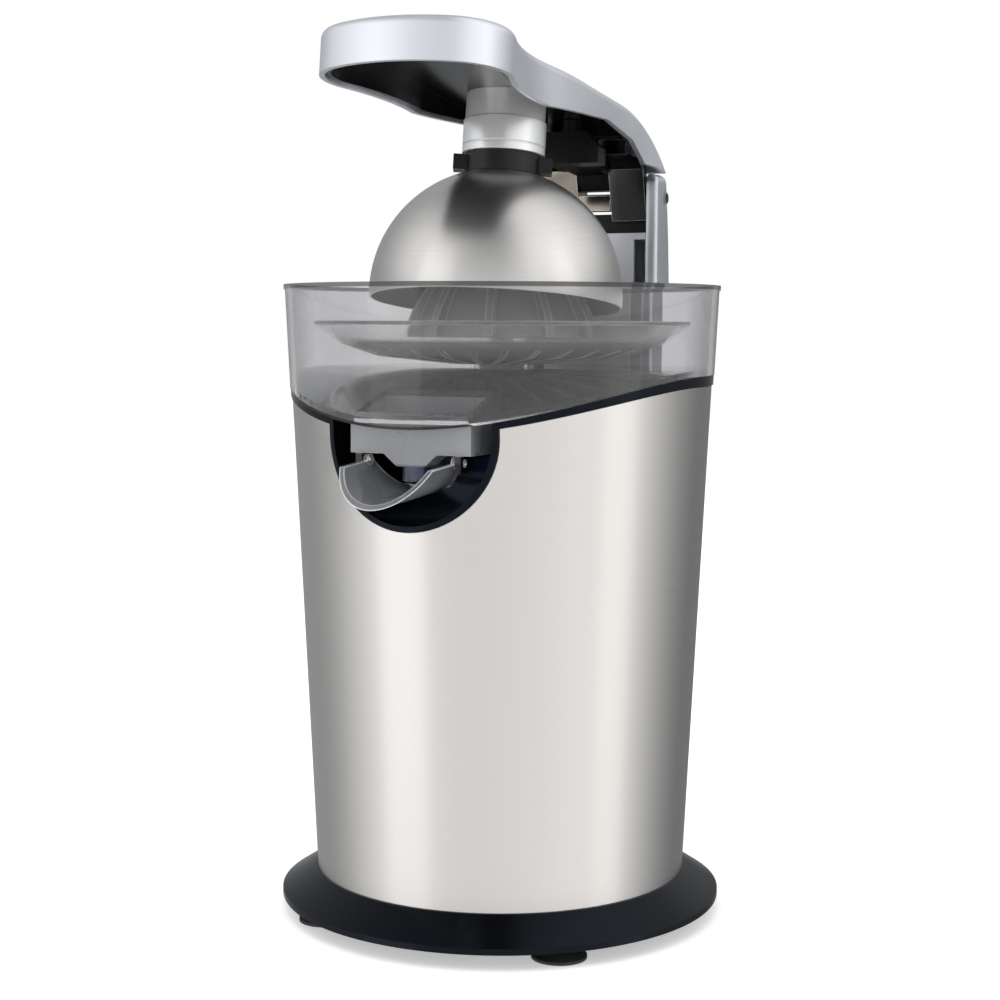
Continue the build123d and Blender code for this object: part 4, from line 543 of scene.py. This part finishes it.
# Studio: world, floor and soft boxes
def wall_colour(level):
    """White where a wall is bright, and the full cool tint at half that level and below."""
    share = max(0.0, min(1.0, 2 * (1 - level)))
    return tuple(level * (1 - (1 - c) * share) for c in COOL) + (1.0,)


def wall_ramp(tree, turn, levels):
    return ramp(tree, turn, [((angle + 180) / 360, wall_colour(level)) for angle, level in levels])


def light_world():
    """White to the eye and through clear plastic, a plain level for diffuse light, a room for reflections."""
    world = bpy.data.worlds.new("studio")
    world.use_nodes = True
    tree = world.node_tree
    source = add_node(tree, "TexCoord").outputs["Generated"]
    ahead = dot(tree, source, (sin(CAMERA_AZIMUTH), -cos(CAMERA_AZIMUTH), 0.0))
    right = dot(tree, source, (cos(CAMERA_AZIMUTH), sin(CAMERA_AZIMUTH), 0.0))
    up = dot(tree, source, (0.0, 0.0, 1.0))
    turn = map_range(tree, calculate(tree, "Math", "ARCTAN2", right, ahead)["Value"], -pi, pi)
    room = wall_ramp(tree, turn, WALLS)
    for levels, (low, high) in ((CEILING, CEILING_RISE), (OVERHEAD, OVERHEAD_RISE)):
        room = blend_colours(tree, map_range(tree, up, low, high), room, wall_ramp(tree, turn, levels))
    plain = shade((WORLD_DIFFUSE, WORLD_DIFFUSE, WORLD_DIFFUSE), 1.0)
    lit = blend_colours(tree, add_node(tree, "LightPath").outputs["Is Glossy Ray"], plain, room)
    set_inputs(tree, tree.nodes["Background"], Color=blend_colours(tree, seen_directly(tree), lit, WHITE))
    SCENE.world = world


def floor_paper():
    """White paper: a plain diffuse sheet, with a glow that only the eye sees, so that the shadow stays."""
    tree = moulded("floor_paper", FLOOR_COLOUR, roughness=0.8, grain=300.0, vary=0.005, strength=0.02,
                   edge=0.0)
    glow = calculate(tree, "Math", "MULTIPLY", seen_directly(tree), FLOOR_GLOW)["Value"]
    set_inputs(tree, find_node(tree, "BSDF_PRINCIPLED"), Emission_Color=WHITE, Emission_Strength=glow,
               Specular_IOR_Level=0.0)


def add_floor():
    mesh = bpy.data.meshes.new("floor")
    angles = [2 * pi * i / FLOOR_SIDES for i in range(FLOOR_SIDES)]
    ring = [(FLOOR_RADIUS * cos(angle), FLOOR_RADIUS * sin(angle), 0) for angle in angles]
    mesh.from_pydata(ring, [], [list(range(FLOOR_SIDES))])
    floor = bpy.data.objects.new("floor", mesh)
    COLLECTION.objects.link(floor)
    floor_paper()
    mesh.materials.append(MATERIALS["floor_paper"])
    floor.visible_glossy = False


def direction(angle, elevation):
    """Unit vector from the machine, turned from the camera's side to its right, and raised."""
    bearing = -pi / 2 + CAMERA_AZIMUTH + radians(angle)
    flat = cos(radians(elevation))
    return Vector((flat * cos(bearing), flat * sin(bearing), sin(radians(elevation))))


def soft_box(name, angle, elevation, distance, width, height, radiance, colour=WHITE[:3], mirrored=True):
    """A lamp that faces the machine; where it is mirrored, metal shows it."""
    data = bpy.data.lights.new(name, "AREA")
    data.shape = "RECTANGLE"
    data.size, data.size_y = width, height
    data.energy = radiance * pi * width * height
    data.color = colour
    lamp = bpy.data.objects.new(name, data)
    COLLECTION.objects.link(lamp)
    away = direction(angle, elevation)
    lamp.location = TARGET + away * distance
    lamp.rotation_euler = (-away).to_track_quat("-Z", "Y").to_euler()
    lamp.visible_camera = False
    lamp.visible_glossy = mirrored


dress_nodes()
place_camera()
light_world()
add_floor()
soft_box("strip_left", angle=-57, elevation=6, distance=1.5, width=0.82, height=2.0, radiance=0.42)
soft_box("strip_right", angle=66, elevation=6, distance=1.5, width=0.56, height=2.0, radiance=0.26,
         colour=WARM)
soft_box("top_box", angle=-15, elevation=72, distance=1.4, width=1.1, height=1.1, radiance=1.3,
         mirrored=False)

SCENE.view_settings.view_transform = "Standard"
